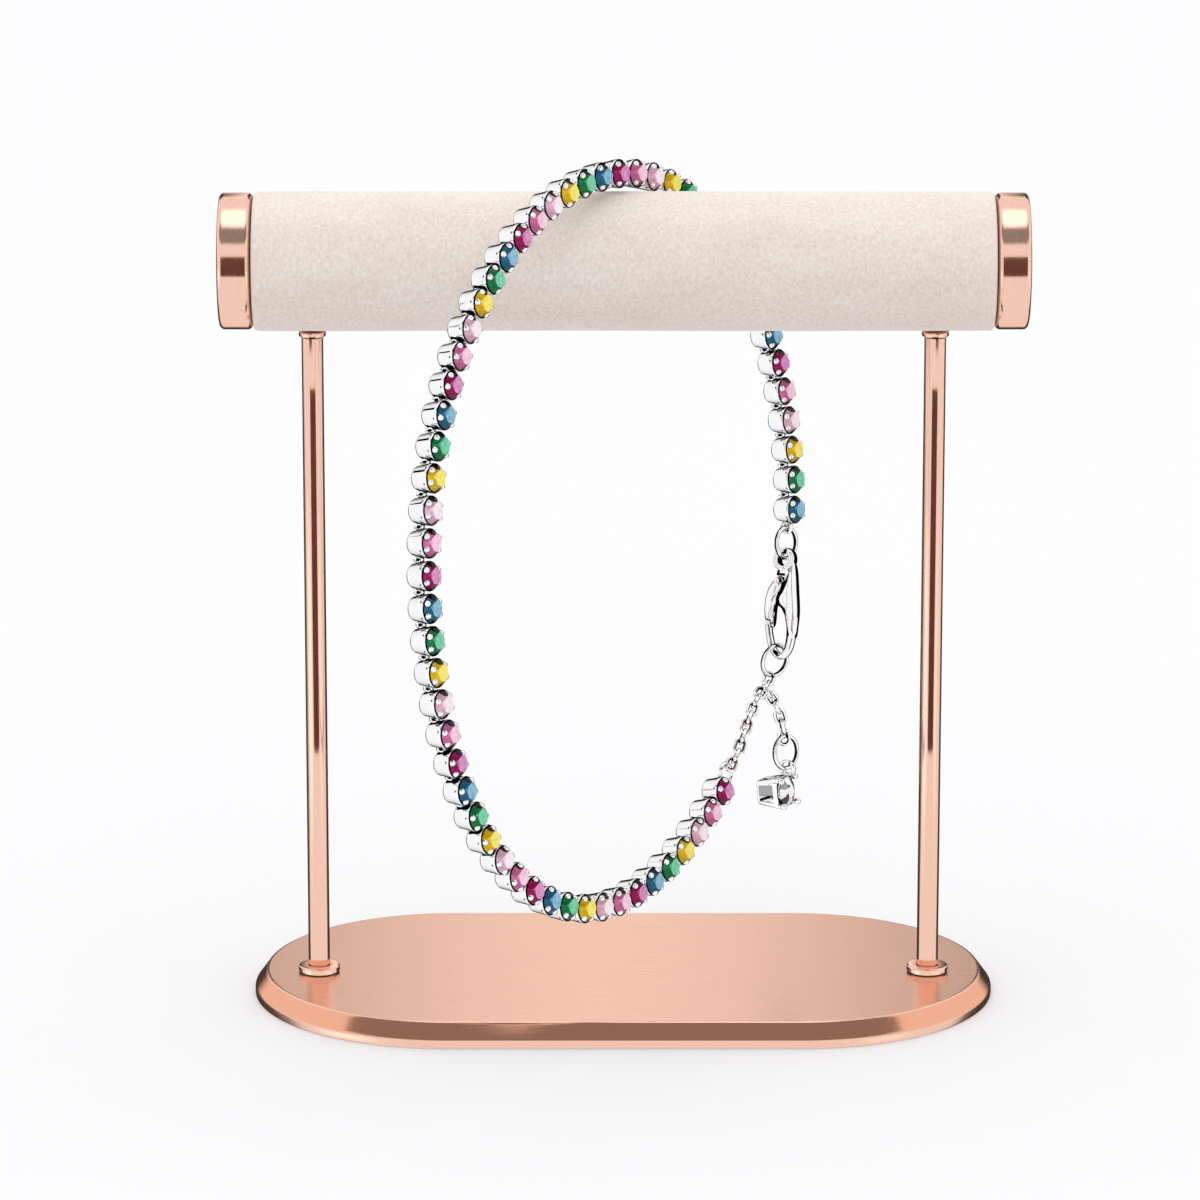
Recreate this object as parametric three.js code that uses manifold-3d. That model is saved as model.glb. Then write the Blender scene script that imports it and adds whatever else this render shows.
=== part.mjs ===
// A stone-set bracelet hung over the padded bar of a small display stand.
// Millimetres, +Z up. The origin is on the underside of the base plate, at its centre.
// +X runs along the bar to the right and +Y to the back.

import * as THREE from 'three';
import { mergeVertices } from 'three/addons/utils/BufferGeometryUtils.js';
import Module from 'manifold-3d';

const wasm = await Module();
wasm.setup();

// ---------------------------------------------------------------- driving dimensions

const SEAT_GAP = 0.1; // between stand pieces that touch

const BASE_LENGTH = 66.6;
const BASE_WIDTH = 35.2;
const BASE_THICKNESS = 2.2;
const BASE_CHAMFER_WIDTH = 0.8;
const BASE_CHAMFER_HEIGHT = 1.25;

const POST_SPACING = 54.9;
const POST_RADIUS = 0.96;
const POST_Y = -1.6; // the posts stand a little in front of the plate's centre line
const COLLAR_RADIUS = 1.85;
const COLLAR_HEIGHT = 0.55;
const FLANGE_RADIUS = 1.2;
const FLANGE_HEIGHT = 0.45;

const BAR_HEIGHT = 67.42; // axis of the bar above the surface
const ROLL_RADIUS = 6.15;
const ROLL_LENGTH = 65;
const CAP_RADIUS = 6.0;
const CAP_LENGTH = 2.9;
const CAP_ROUNDING = 0.45;
const CAP_STEP = 0.25; // the shallow step round the cap's outer face

// The loop lies in one plane: u across it, v up it, w along the stones' axes.
const LOOP_CENTRE = new THREE.Vector3(-0.3, -8.92, 44.27);
const LOOP_TURN = THREE.MathUtils.degToRad(56.75); // about +Z, from the bar's direction
const LOOP_LEAN = THREE.MathUtils.degToRad(7); // stones look this far above level
const LOOP_RADIUS = 30.23;
// How the loop sags out of round: each wave goes this many times round it.
const LOOP_WAVES = [
  { times: 2, size: 2.19, turn: THREE.MathUtils.degToRad(58.1) },
  { times: 3, size: 0.34, turn: THREE.MathUtils.degToRad(-1) },
  { times: 4, size: 0.285, turn: THREE.MathUtils.degToRad(-28.1) },
];

const SETTING_COUNT = 60;
const SETTINGS_PER_RUN = 6; // one round of the six stone colours
const SETTING_PITCH = 2.751;
const FIRST_SETTING_AT = -3.25; // along the loop from its u axis
const CUP_RADIUS = 1.39;
const CUP_FOOT_RADIUS = 0.95;
const CUP_ROUNDING = 0.42;
const CUP_DEPTH = 1.85;
const RIM_W = -0.2;
const STONE_RADIUS = 1.2;
const TABLE_RADIUS = 0.75;
const TABLE_W = 0.3;
const LINK_W = -1.05; // mid-plane of the links, behind the stones
const LINK_RADIUS = 0.42;
const WIRE = 0.17; // radius of the wire of the rings and eyes
const FIRST_EYE_RADIUS = 0.45; // soldered under the first cup, edge on to the loop
const FIRST_EYE_REACH = 1.62; // from the cup's axis to the middle of its eye
const LAST_EYE_RADIUS = 0.9; // soldered beside the last cup, in the plane of the loop
const LAST_EYE_REACH = 2.15;
const LAST_EYE_TURN = THREE.MathUtils.degToRad(33); // of its reach, from the loop's u axis

const JUMP_RING_RADIUS = 1.42;
const JUMP_RING_TURN = THREE.MathUtils.degToRad(-6);
const HOOK_RING_RADIUS = 1.45;
const HOOK_RING_TURN = THREE.MathUtils.degToRad(-18);
const HOOK_RING_TILT = THREE.MathUtils.degToRad(12);
const HOOK_RING_SWING = THREE.MathUtils.degToRad(25); // to the side of where it is threaded
const HOOK_RING_AT = new THREE.Vector2(-0.15, -7.9); // its wire in the mouth of the claw
const END_RING_RADIUS = 1.5;
const END_RING_TURN = THREE.MathUtils.degToRad(-10.75);
const END_RING_CENTRE = new THREE.Vector3(26.15, -25.35, -2.0);

const CLASP_LEAN = THREE.MathUtils.degToRad(15); // away from the loop's v axis
const CLAW_THICKNESS = 1.7;
const CLAW_HOOK_THICKNESS = 1.0;
const CLAW_BEVEL = 0.2;
const EYELET_RADIUS = 1.1;
const EYELET_HOLE = 0.6;
const EYELET_DROP = 0.12; // the eyelet hangs this far below the wire that carries it
const SLOT_SIDE = 3.6; // the lever's slot, open to the left
const SLOT_RIGHT = 0.25;
const SLOT_TOP = -1.25;
const LEVER_THICKNESS = 0.8;
const LEVER_BEVEL = 0.12;
const LEVER_PLAY = 0.15; // each side of the lever in its slot
const PIVOT = new THREE.Vector2(-0.45, -1.95);
const PIN_RADIUS = 0.28;
const PIN_HOLE_RADIUS = 0.37;
const BOSS_RADIUS = 0.52;

const CHAIN_RADIUS = 0.5;
const CHAIN_SIDES = 8;
const CHAIN_STEPS = 3; // for each stretch of a route

const DROP_CENTRE = new THREE.Vector3(25.7, -28.95, -2.2); // middle of the basket's top
const DROP_SIDE = 2.9;
const DROP_DEPTH = 2.35;
const DROP_WINDOW = 1.85;
const DROP_WINDOW_FROM = -0.45;
const DROP_WINDOW_TO = -2.2;
const DROP_ROUNDING = 0.5;
const BAIL_RADIUS = 0.6;
const BAIL_WIRE = 0.16;
const BAIL_STRETCH = 1.3; // the bail is this much wider than high
const DROP_STONE_RADIUS = 1.3;
const DROP_CROWN = 0.55;
const DROP_GIRDLE = 0.08; // half its height
const DROP_TABLE = 0.75; // radius
const DROP_PAVILION = 1.0;
const STONE_GAP = 0.2;
const STONE_LIFT = 0.18; // the girdle stands this far above the basket
const PRONG_RADIUS = 0.25;
const PRONG_STEM = 0.2;
const PRONG_HEIGHT = 0.48;
const PRONG_AT = 1.2;

// ---------------------------------------------------------------- solids

function toSolid(geometry) {
  const bare = geometry.clone();
  for (const name of Object.keys(bare.attributes)) {
    if (name !== 'position') bare.deleteAttribute(name);
  }
  const merged = mergeVertices(bare, 1e-5);
  return new wasm.Manifold(new wasm.Mesh({
    numProp: 3,
    vertProperties: Float32Array.from(merged.attributes.position.array),
    triVerts: Uint32Array.from(merged.index.array),
  }));
}

function toGeometry(solid) {
  const mesh = solid.getMesh();
  const geometry = new THREE.BufferGeometry();
  geometry.setAttribute('position', new THREE.BufferAttribute(mesh.vertProperties, 3));
  geometry.setIndex(new THREE.BufferAttribute(mesh.triVerts, 1));
  const flat = geometry.toNonIndexed();
  flat.computeVertexNormals();
  return flat;
}

function join(geometries) {
  const solids = geometries.map(toSolid);
  return solids.reduce((sum, next) => sum.add(next));
}

// A copy of a geometry, turned and then slid into place.
function placed(geometry, position, rotation) {
  const turn = new THREE.Euler(...rotation);
  const matrix = new THREE.Matrix4().makeRotationFromEuler(turn).setPosition(...position);
  return geometry.clone().applyMatrix4(matrix);
}

// A round bar between two points.
function rod(from, to, radius, sides) {
  const along = to.clone().sub(from);
  const bar = new THREE.CylinderGeometry(radius, radius, along.length(), sides);
  const turn = new THREE.Quaternion().setFromUnitVectors(
    new THREE.Vector3(0, 1, 0),
    along.clone().normalize(),
  );
  const middle = from.clone().add(to).multiplyScalar(0.5);
  return bar.applyQuaternion(turn).translate(middle.x, middle.y, middle.z);
}

// A tube along a smooth open route.
function tube(points, radius, sides, steps) {
  const section = new THREE.Shape();
  for (let i = 0; i < sides; i += 1) {
    const angle = (i / sides) * Math.PI * 2;
    const x = radius * Math.cos(angle);
    const y = radius * Math.sin(angle);
    if (i === 0) section.moveTo(x, y);
    else section.lineTo(x, y);
  }
  section.closePath();
  return new THREE.ExtrudeGeometry(section, {
    steps,
    extrudePath: new THREE.CatmullRomCurve3(points),
  });
}

function profile(rows) {
  return rows.map(([r, h]) => new THREE.Vector2(r, h));
}

const metal = (color, roughness) => new THREE.MeshStandardMaterial({
  color, roughness, metalness: 1,
});
const roseMetal = metal(0xd9a08c, 0.32);
const roseRod = metal(0xd99f8b, 0.2);
const silver = metal(0xe9e9ec, 0.12);
const velvet = new THREE.MeshStandardMaterial({ color: 0xeae0d5, roughness: 0.95, metalness: 0 });
const clearStone = new THREE.MeshStandardMaterial({ color: 0xf4f6f8, roughness: 0.03 });

function piece(name, geometry, material, parent) {
  const mesh = new THREE.Mesh(geometry, material);
  mesh.name = name;
  parent.add(mesh);
  return mesh;
}

// ---------------------------------------------------------------- the stand

function stadium(length, width) {
  const radius = width / 2;
  const straight = length / 2 - radius;
  const outline = new THREE.Shape();
  outline.absarc(straight, 0, radius, -Math.PI / 2, Math.PI / 2);
  outline.absarc(-straight, 0, radius, Math.PI / 2, (Math.PI * 3) / 2);
  outline.closePath();
  return outline;
}

function basePlate() {
  // The extrusion is chamfered at both ends, and the lower chamfer is cut away.
  const slab = new THREE.ExtrudeGeometry(stadium(BASE_LENGTH, BASE_WIDTH), {
    depth: BASE_THICKNESS - BASE_CHAMFER_HEIGHT,
    bevelEnabled: true,
    bevelSegments: 1,
    bevelThickness: BASE_CHAMFER_HEIGHT,
    bevelSize: BASE_CHAMFER_WIDTH,
    bevelOffset: -BASE_CHAMFER_WIDTH,
    curveSegments: 20,
  });
  const below = new THREE.BoxGeometry(BASE_LENGTH * 2, BASE_WIDTH * 2, BASE_THICKNESS);
  below.translate(0, 0, -BASE_THICKNESS / 2);
  return toGeometry(toSolid(slab).subtract(toSolid(below)));
}

function postAssembly(side, parent) {
  const x = (side === 'left' ? -1 : 1) * (POST_SPACING / 2);
  const group = new THREE.Group();
  group.position.set(x, POST_Y, 0);
  parent.add(group);
  const sides = 20;
  const flangeTop = BAR_HEIGHT - ROLL_RADIUS - SEAT_GAP;
  const postBottom = BASE_THICKNESS + SEAT_GAP;
  const postTop = flangeTop - FLANGE_HEIGHT - SEAT_GAP;

  const post = new THREE.CylinderGeometry(POST_RADIUS, POST_RADIUS, postTop - postBottom, sides);
  post.rotateX(Math.PI / 2);
  const postMesh = piece(`post_${side}`, post, roseRod, group);
  postMesh.position.z = (postBottom + postTop) / 2;

  const bore = POST_RADIUS + SEAT_GAP;
  const rounding = COLLAR_HEIGHT / 4;
  const collar = new THREE.LatheGeometry(profile([
    [bore, 0],
    [COLLAR_RADIUS, 0],
    [COLLAR_RADIUS, COLLAR_HEIGHT - rounding],
    [COLLAR_RADIUS - rounding, COLLAR_HEIGHT],
    [bore, COLLAR_HEIGHT],
    [bore, 0],
  ]), sides);
  collar.rotateX(Math.PI / 2);
  const collarMesh = piece(`post_collar_${side}`, collar, roseRod, group);
  collarMesh.position.z = BASE_THICKNESS + SEAT_GAP;

  const flange = new THREE.CylinderGeometry(FLANGE_RADIUS, FLANGE_RADIUS, FLANGE_HEIGHT, sides);
  flange.rotateX(Math.PI / 2);
  const flangeMesh = piece(`post_flange_${side}`, flange, roseRod, group);
  flangeMesh.position.z = flangeTop - FLANGE_HEIGHT / 2;
}

function endCap() {
  const corners = 2;
  const rows = [[0, 0], [CAP_RADIUS - CAP_ROUNDING, 0]];
  for (let i = 1; i <= corners; i += 1) {
    const angle = (i / corners) * (Math.PI / 2);
    rows.push([
      CAP_RADIUS - CAP_ROUNDING * (1 - Math.sin(angle)),
      CAP_ROUNDING * (1 - Math.cos(angle)),
    ]);
  }
  for (let i = 0; i <= corners; i += 1) {
    const angle = (i / corners) * (Math.PI / 2);
    rows.push([
      CAP_RADIUS - CAP_ROUNDING * (1 - Math.cos(angle)),
      CAP_LENGTH - CAP_ROUNDING * (1 - Math.sin(angle)),
    ]);
  }
  const face = CAP_RADIUS - CAP_ROUNDING * 2;
  rows.push([face, CAP_LENGTH], [face - CAP_STEP, CAP_LENGTH - CAP_STEP], [0, CAP_LENGTH - CAP_STEP]);
  return new THREE.LatheGeometry(profile(rows), 36).rotateX(Math.PI / 2);
}

function barAssembly(parent) {
  const bar = new THREE.Group();
  bar.position.set(0, POST_Y, BAR_HEIGHT);
  parent.add(bar);
  const roll = new THREE.CylinderGeometry(ROLL_RADIUS, ROLL_RADIUS, ROLL_LENGTH, 48);
  roll.rotateZ(Math.PI / 2);
  piece('bar_roll', roll, velvet, bar);
  for (const [side, sign] of [['left', -1], ['right', 1]]) {
    const cap = piece(`end_cap_${side}`, endCap(), roseMetal, bar);
    cap.position.x = sign * (ROLL_LENGTH / 2 + SEAT_GAP);
    cap.rotation.y = sign * (Math.PI / 2);
  }
}

// ---------------------------------------------------------------- the loop of settings

class LoopLine extends THREE.Curve {
  getPoint(t, target = new THREE.Vector3()) {
    const angle = t * Math.PI * 2;
    const sag = (sum, wave) => sum + wave.size * Math.cos(wave.times * (angle - wave.turn));
    const radius = LOOP_WAVES.reduce(sag, LOOP_RADIUS);
    return target.set(radius * Math.cos(angle), radius * Math.sin(angle), 0);
  }
}

const loopLine = new LoopLine();
loopLine.arcLengthDivisions = 2000;

// Where each setting sits on the line, and which way the line runs there.
function settingPlaces() {
  const around = loopLine.getLength();
  const places = [];
  for (let i = 0; i < SETTING_COUNT; i += 1) {
    const along = (FIRST_SETTING_AT + i * SETTING_PITCH + around) % around;
    places.push({
      at: loopLine.getPointAt(along / around),
      heading: loopLine.getTangentAt(along / around),
    });
  }
  return places;
}

// A rounded cup with the crown of its stone standing out of it, axis along w.
function setting(place) {
  const foot = RIM_W - CUP_DEPTH;
  const sides = 12;
  const cup = new THREE.LatheGeometry(profile([
    [0, foot],
    [CUP_FOOT_RADIUS, foot],
    [CUP_RADIUS, foot + CUP_ROUNDING],
    [CUP_RADIUS, RIM_W],
    [STONE_RADIUS, RIM_W],
    [TABLE_RADIUS, TABLE_W],
    [0, TABLE_W],
  ]), sides).rotateX(Math.PI / 2);
  // A flat of the twelve faces the neighbour.
  const turn = Math.atan2(place.heading.y, place.heading.x) + Math.PI / sides;
  return cup.rotateZ(turn).translate(place.at.x, place.at.y, 0);
}

// The eye that the jump ring is threaded through: its hole looks along the loop.
function firstEye(at, direction) {
  const middle = at.clone().addScaledVector(direction, FIRST_EYE_REACH);
  const turn = Math.atan2(direction.y, direction.x);
  const eye = new THREE.TorusGeometry(FIRST_EYE_RADIUS, WIRE, 6, 12).rotateX(Math.PI / 2);
  return placed(eye, [middle.x, middle.y, LINK_W], [0, 0, turn]);
}

function lastEye(at) {
  const eye = new THREE.TorusGeometry(LAST_EYE_RADIUS, WIRE, 6, 18);
  eye.translate(LAST_EYE_REACH, 0, 0).rotateZ(LAST_EYE_TURN);
  return eye.translate(at.x, at.y, LINK_W);
}

function settingRuns(places, claspDirection, parent) {
  const runs = SETTING_COUNT / SETTINGS_PER_RUN;
  for (let run = 0; run < runs; run += 1) {
    const members = places.slice(run * SETTINGS_PER_RUN, (run + 1) * SETTINGS_PER_RUN);
    const pieces = members.map(setting);
    for (let i = 1; i < members.length; i += 1) {
      const from = members[i - 1].at.clone().setZ(LINK_W);
      const to = members[i].at.clone().setZ(LINK_W);
      pieces.push(rod(from, to, LINK_RADIUS, 6));
    }
    if (run === 0) pieces.push(firstEye(members[0].at, claspDirection));
    if (run === runs - 1) pieces.push(lastEye(members[members.length - 1].at));
    const name = `setting_run_${String(run + 1).padStart(2, '0')}`;
    piece(name, toGeometry(join(pieces)), silver, parent);
  }
}

// A ring of round wire, tilted and then turned about the loop's v axis.
function ring(name, radius, centre, turn, tilt, parent) {
  const mesh = piece(name, new THREE.TorusGeometry(radius, WIRE, 6, 24), silver, parent);
  mesh.position.copy(centre);
  mesh.rotation.set(tilt, turn, 0, 'YXZ');
}

// ---------------------------------------------------------------- the clasp

// Sections along the claw, from under the eyelet round the back to the tip of the hook.
const CLAW_SECTIONS = [
  { x: 0.1, y: -0.6, width: 1.5 },
  { x: 0.15, y: -1.9, width: 2.1 },
  { x: 0.42, y: -3.2, width: 1.95 },
  { x: 0.8, y: -4.4, width: 1.6 },
  { x: 1.0, y: -5.6, width: 1.25 },
  { x: 0.98, y: -7.0, width: 0.95 },
  { x: 0.68, y: -8.3, width: 0.78 },
  { x: -0.06, y: -8.88, width: 0.66 },
  { x: -0.86, y: -8.3, width: 0.62 },
  { x: -1.3, y: -7.1, width: 0.58 },
  { x: -1.52, y: -6.05, width: 0.5 },
];

// Half the claw's thickness at each height, seen from the edge.
const CLAW_PROFILE = [
  { y: 1.3, half: CLAW_HOOK_THICKNESS / 2 },
  { y: -0.5, half: CLAW_HOOK_THICKNESS / 2 },
  { y: -1.3, half: CLAW_THICKNESS / 2 },
  { y: -4.4, half: CLAW_THICKNESS / 2 },
  { y: -6.6, half: CLAW_HOOK_THICKNESS / 2 },
  { y: -9.6, half: CLAW_HOOK_THICKNESS / 2 },
];

// Outline of the lever, measured from its pivot.
const LEVER_OUTLINE = [
  { x: 0.45, y: -0.2 },
  { x: 0.2, y: -0.9 },
  { x: -0.15, y: -1.9 },
  { x: -0.34, y: -2.9 },
  { x: -0.42, y: -4.25 },
  { x: -0.68, y: -4.25 },
  { x: -0.7, y: -3.78 },
  { x: -1.36, y: -3.6 },
  { x: -1.55, y: -2.8 },
  { x: -1.5, y: -1.7 },
  { x: -1.15, y: -0.55 },
  { x: -0.4, y: 0.33 },
];

// The outline of a band that follows the sections, with a round end at the last one.
function bandOutline(sections) {
  const line = new THREE.SplineCurve(sections.map((s) => new THREE.Vector2(s.x, s.y)));
  const widths = new THREE.SplineCurve(sections.map((s, i) => new THREE.Vector2(i, s.width)));
  const steps = 26;
  const left = [];
  const right = [];
  for (let i = 0; i <= steps; i += 1) {
    const t = i / steps;
    const at = line.getPoint(t);
    const heading = line.getTangent(t);
    const half = widths.getPoint(t).y / 2;
    left.push(new THREE.Vector2(at.x - heading.y * half, at.y + heading.x * half));
    right.push(new THREE.Vector2(at.x + heading.y * half, at.y - heading.x * half));
  }
  const tip = line.getPoint(1);
  const ahead = line.getTangent(1).angle();
  const reach = sections[sections.length - 1].width / 2;
  const round = 4;
  const end = [];
  for (let i = 1; i < round; i += 1) {
    const angle = ahead - Math.PI / 2 + (i / round) * Math.PI;
    end.push(new THREE.Vector2(Math.cos(angle), Math.sin(angle)).multiplyScalar(reach).add(tip));
  }
  return new THREE.Shape([...right, ...end, ...left.reverse()]);
}

// An outline given a thickness about z = 0, with its edges bevelled.
function plate(outline, thickness, bevel, segments = 2) {
  return new THREE.ExtrudeGeometry(outline, {
    depth: thickness - bevel * 2,
    bevelEnabled: true,
    bevelSegments: segments,
    bevelThickness: bevel,
    bevelSize: bevel,
    bevelOffset: -bevel,
    curveSegments: 6,
  }).translate(0, 0, bevel - thickness / 2);
}

// A round bar through the claw's thickness.
function crossBar(radius, length, at = new THREE.Vector2()) {
  const bar = new THREE.CylinderGeometry(radius, radius, length, 16).rotateX(Math.PI / 2);
  return toSolid(bar.translate(at.x, at.y, 0));
}

// Everything inside the claw's profile from the edge, which is slim at its two ends.
function claspEnvelope() {
  const rows = CLAW_PROFILE.map((row) => new THREE.Vector2(row.y, row.half));
  const mirrored = rows.map((point) => new THREE.Vector2(point.x, -point.y)).reverse();
  const across = CLAW_THICKNESS * 4;
  const slab = new THREE.ExtrudeGeometry(new THREE.Shape([...rows, ...mirrored]), {
    depth: across, bevelEnabled: false,
  }).translate(0, 0, -across / 2);
  return toSolid(placed(slab, [0, 0, 0], [Math.PI / 2, Math.PI / 2, 0]));
}

function clawBody() {
  const band = plate(bandOutline(CLAW_SECTIONS), CLAW_THICKNESS, CLAW_BEVEL);
  const slotDepth = LEVER_THICKNESS + LEVER_PLAY * 2;
  const slot = new THREE.BoxGeometry(SLOT_SIDE, SLOT_SIDE, slotDepth);
  slot.translate(SLOT_RIGHT - SLOT_SIDE / 2, SLOT_TOP - SLOT_SIDE / 2, 0);
  return toSolid(band)
    .add(crossBar(EYELET_RADIUS, CLAW_HOOK_THICKNESS))
    .intersect(claspEnvelope())
    .subtract(crossBar(EYELET_HOLE, CLAW_THICKNESS * 2))
    .subtract(toSolid(slot))
    .add(crossBar(PIN_RADIUS, CLAW_THICKNESS - CLAW_BEVEL, PIVOT));
}

function leverBody() {
  const arm = new THREE.Shape(LEVER_OUTLINE.map((p) => new THREE.Vector2(p.x, p.y)));
  return toSolid(plate(arm, LEVER_THICKNESS, LEVER_BEVEL, 1))
    .add(crossBar(BOSS_RADIUS, LEVER_THICKNESS))
    .subtract(crossBar(PIN_HOLE_RADIUS, LEVER_THICKNESS * 2));
}

function clasp(parent) {
  piece('clasp_claw', toGeometry(clawBody()), silver, parent);
  const lever = piece('clasp_lever', toGeometry(leverBody()), silver, parent);
  lever.position.set(PIVOT.x, PIVOT.y, 0);
}

// ---------------------------------------------------------------- chains and drop

// Routes by hand, in the loop's own directions.
const EXTENDER_ROUTE = [
  { u: 24.1, v: -18.6, w: -1.9 },
  { u: 22.4, v: -19.0, w: -1.75 },
  { u: 20.8, v: -19.9, w: -1.55 },
  { u: 19.3, v: -21.0, w: -1.35 },
  { u: 17.8, v: -22.25, w: -1.15 },
  { u: 16.7, v: -23.25, w: -1.05 },
  { u: 15.85, v: -23.95, w: -1.05 },
];
const TAIL_ROUTE = [
  { u: 24.6, v: -19.8, w: -2.0 },
  { u: 25.3, v: -20.8, w: -2.0 },
  { u: 25.8, v: -21.9, w: -2.0 },
  { u: 26.1, v: -23.3, w: -2.0 },
];

function chain(name, route, parent) {
  const points = route.map((p) => new THREE.Vector3(p.u, p.v, p.w));
  const geometry = tube(points, CHAIN_RADIUS, CHAIN_SIDES, (points.length - 1) * CHAIN_STEPS);
  piece(name, geometry, silver, parent);
}

function dropSetting() {
  const half = DROP_SIDE / 2;
  const outline = new THREE.Shape();
  const corner = half - DROP_ROUNDING;
  outline.absarc(corner, corner, DROP_ROUNDING, 0, Math.PI / 2);
  outline.absarc(-corner, corner, DROP_ROUNDING, Math.PI / 2, Math.PI);
  outline.absarc(-corner, -corner, DROP_ROUNDING, Math.PI, (Math.PI * 3) / 2);
  outline.absarc(corner, -corner, DROP_ROUNDING, (Math.PI * 3) / 2, Math.PI * 2);
  outline.closePath();
  const block = new THREE.ExtrudeGeometry(outline, {
    depth: DROP_DEPTH, bevelEnabled: false, curveSegments: 3,
  }).translate(0, 0, -DROP_DEPTH);
  const windowDepth = DROP_WINDOW_FROM - DROP_WINDOW_TO;
  const across = new THREE.BoxGeometry(DROP_SIDE * 2, DROP_WINDOW, windowDepth);
  across.translate(0, 0, DROP_WINDOW_TO + windowDepth / 2);
  const mouth = DROP_STONE_RADIUS + STONE_GAP;
  const pocket = new THREE.CylinderGeometry(mouth, STONE_GAP / 2, DROP_PAVILION, 16);
  pocket.rotateX(Math.PI / 2).translate(0, 0, STONE_LIFT - DROP_GIRDLE - DROP_PAVILION / 2);
  let solid = toSolid(block)
    .subtract(toSolid(across))
    .subtract(toSolid(pocket));
  for (const x of [-PRONG_AT, PRONG_AT]) {
    for (const y of [-PRONG_AT, PRONG_AT]) {
      const root = new THREE.Vector3(x, y, DROP_WINDOW_FROM);
      const top = new THREE.Vector3(x, y, PRONG_HEIGHT);
      const ball = new THREE.SphereGeometry(PRONG_RADIUS, 8, 6).translate(x, y, PRONG_HEIGHT);
      solid = solid.add(toSolid(rod(root, top, PRONG_STEM, 8))).add(toSolid(ball));
    }
  }
  return solid;
}

function dropStone() {
  return new THREE.LatheGeometry(profile([
    [0, -DROP_PAVILION],
    [DROP_STONE_RADIUS, -DROP_GIRDLE],
    [DROP_STONE_RADIUS, DROP_GIRDLE],
    [DROP_TABLE, DROP_CROWN],
    [0, DROP_CROWN],
  ]), 16).rotateX(Math.PI / 2);
}

// ---------------------------------------------------------------- the whole

function bracelet(parent) {
  const loop = new THREE.Group();
  loop.position.copy(LOOP_CENTRE);
  loop.rotation.set(Math.PI / 2 - LOOP_LEAN, 0, LOOP_TURN, 'ZXY');
  parent.add(loop);

  const places = settingPlaces();
  const hang = new THREE.Vector3(-Math.sin(CLASP_LEAN), -Math.cos(CLASP_LEAN), 0);
  settingRuns(places, hang, loop);

  // From the first eye, the jump ring and the claw follow the line of pull.
  const jumpCentre = places[0].at.clone().setZ(LINK_W);
  jumpCentre.addScaledVector(hang, FIRST_EYE_REACH + JUMP_RING_RADIUS);
  ring('jump_ring', JUMP_RING_RADIUS, jumpCentre, JUMP_RING_TURN, 0, loop);

  const claspGroup = new THREE.Group();
  claspGroup.position.copy(jumpCentre);
  claspGroup.position.addScaledVector(hang, JUMP_RING_RADIUS + EYELET_DROP);
  claspGroup.rotation.set(0, -Math.PI / 2, -CLASP_LEAN, 'ZYX');
  loop.add(claspGroup);
  clasp(claspGroup);

  // The hook ring is threaded on the bottom of the claw, and hangs a little aside.
  const spoke = new THREE.Vector3(Math.sin(HOOK_RING_SWING), Math.cos(HOOK_RING_SWING), 0);
  spoke.multiplyScalar(HOOK_RING_RADIUS);
  spoke.applyEuler(new THREE.Euler(HOOK_RING_TILT, HOOK_RING_TURN, 0, 'YXZ'));
  const threaded = new THREE.Vector3(HOOK_RING_AT.x, HOOK_RING_AT.y, 0);
  threaded.applyEuler(claspGroup.rotation).add(claspGroup.position);
  const hookCentre = threaded.sub(spoke);
  ring('hook_ring', HOOK_RING_RADIUS, hookCentre, HOOK_RING_TURN, HOOK_RING_TILT, loop);

  chain('extender_chain', EXTENDER_ROUTE, loop);
  chain('tail_chain', TAIL_ROUTE, loop);
  ring('end_ring', END_RING_RADIUS, END_RING_CENTRE, END_RING_TURN, 0, loop);

  // The bail is soldered to the basket, so the two are one solid.
  const bailCentre = END_RING_CENTRE.clone().sub(DROP_CENTRE);
  bailCentre.y -= END_RING_RADIUS;
  const bail = placed(
    new THREE.TorusGeometry(BAIL_RADIUS, BAIL_WIRE, 6, 14).scale(BAIL_STRETCH, 1, 1),
    bailCentre.toArray(),
    [0, Math.PI / 2 + END_RING_TURN, 0],
  );
  const basket = dropSetting().add(toSolid(bail));
  piece('drop_setting', toGeometry(basket), silver, loop).position.copy(DROP_CENTRE);
  const stone = piece('drop_stone', dropStone(), clearStone, loop);
  stone.position.copy(DROP_CENTRE);
  stone.position.z += STONE_LIFT;
}

const model = new THREE.Group();
piece('base_plate', basePlate(), roseMetal, model);
postAssembly('left', model);
postAssembly('right', model);
barAssembly(model);
bracelet(model);

export default model;
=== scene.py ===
"""Looks for a stone-set bracelet hung over the velvet bar of a small rose-coloured stand."""
from bisect import bisect_right
from math import atan, atan2, cos, pi, radians, sin

import bmesh
import bpy
from bpy.props import FloatProperty, FloatVectorProperty, IntProperty, PointerProperty
from mathutils import Matrix, Vector


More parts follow.
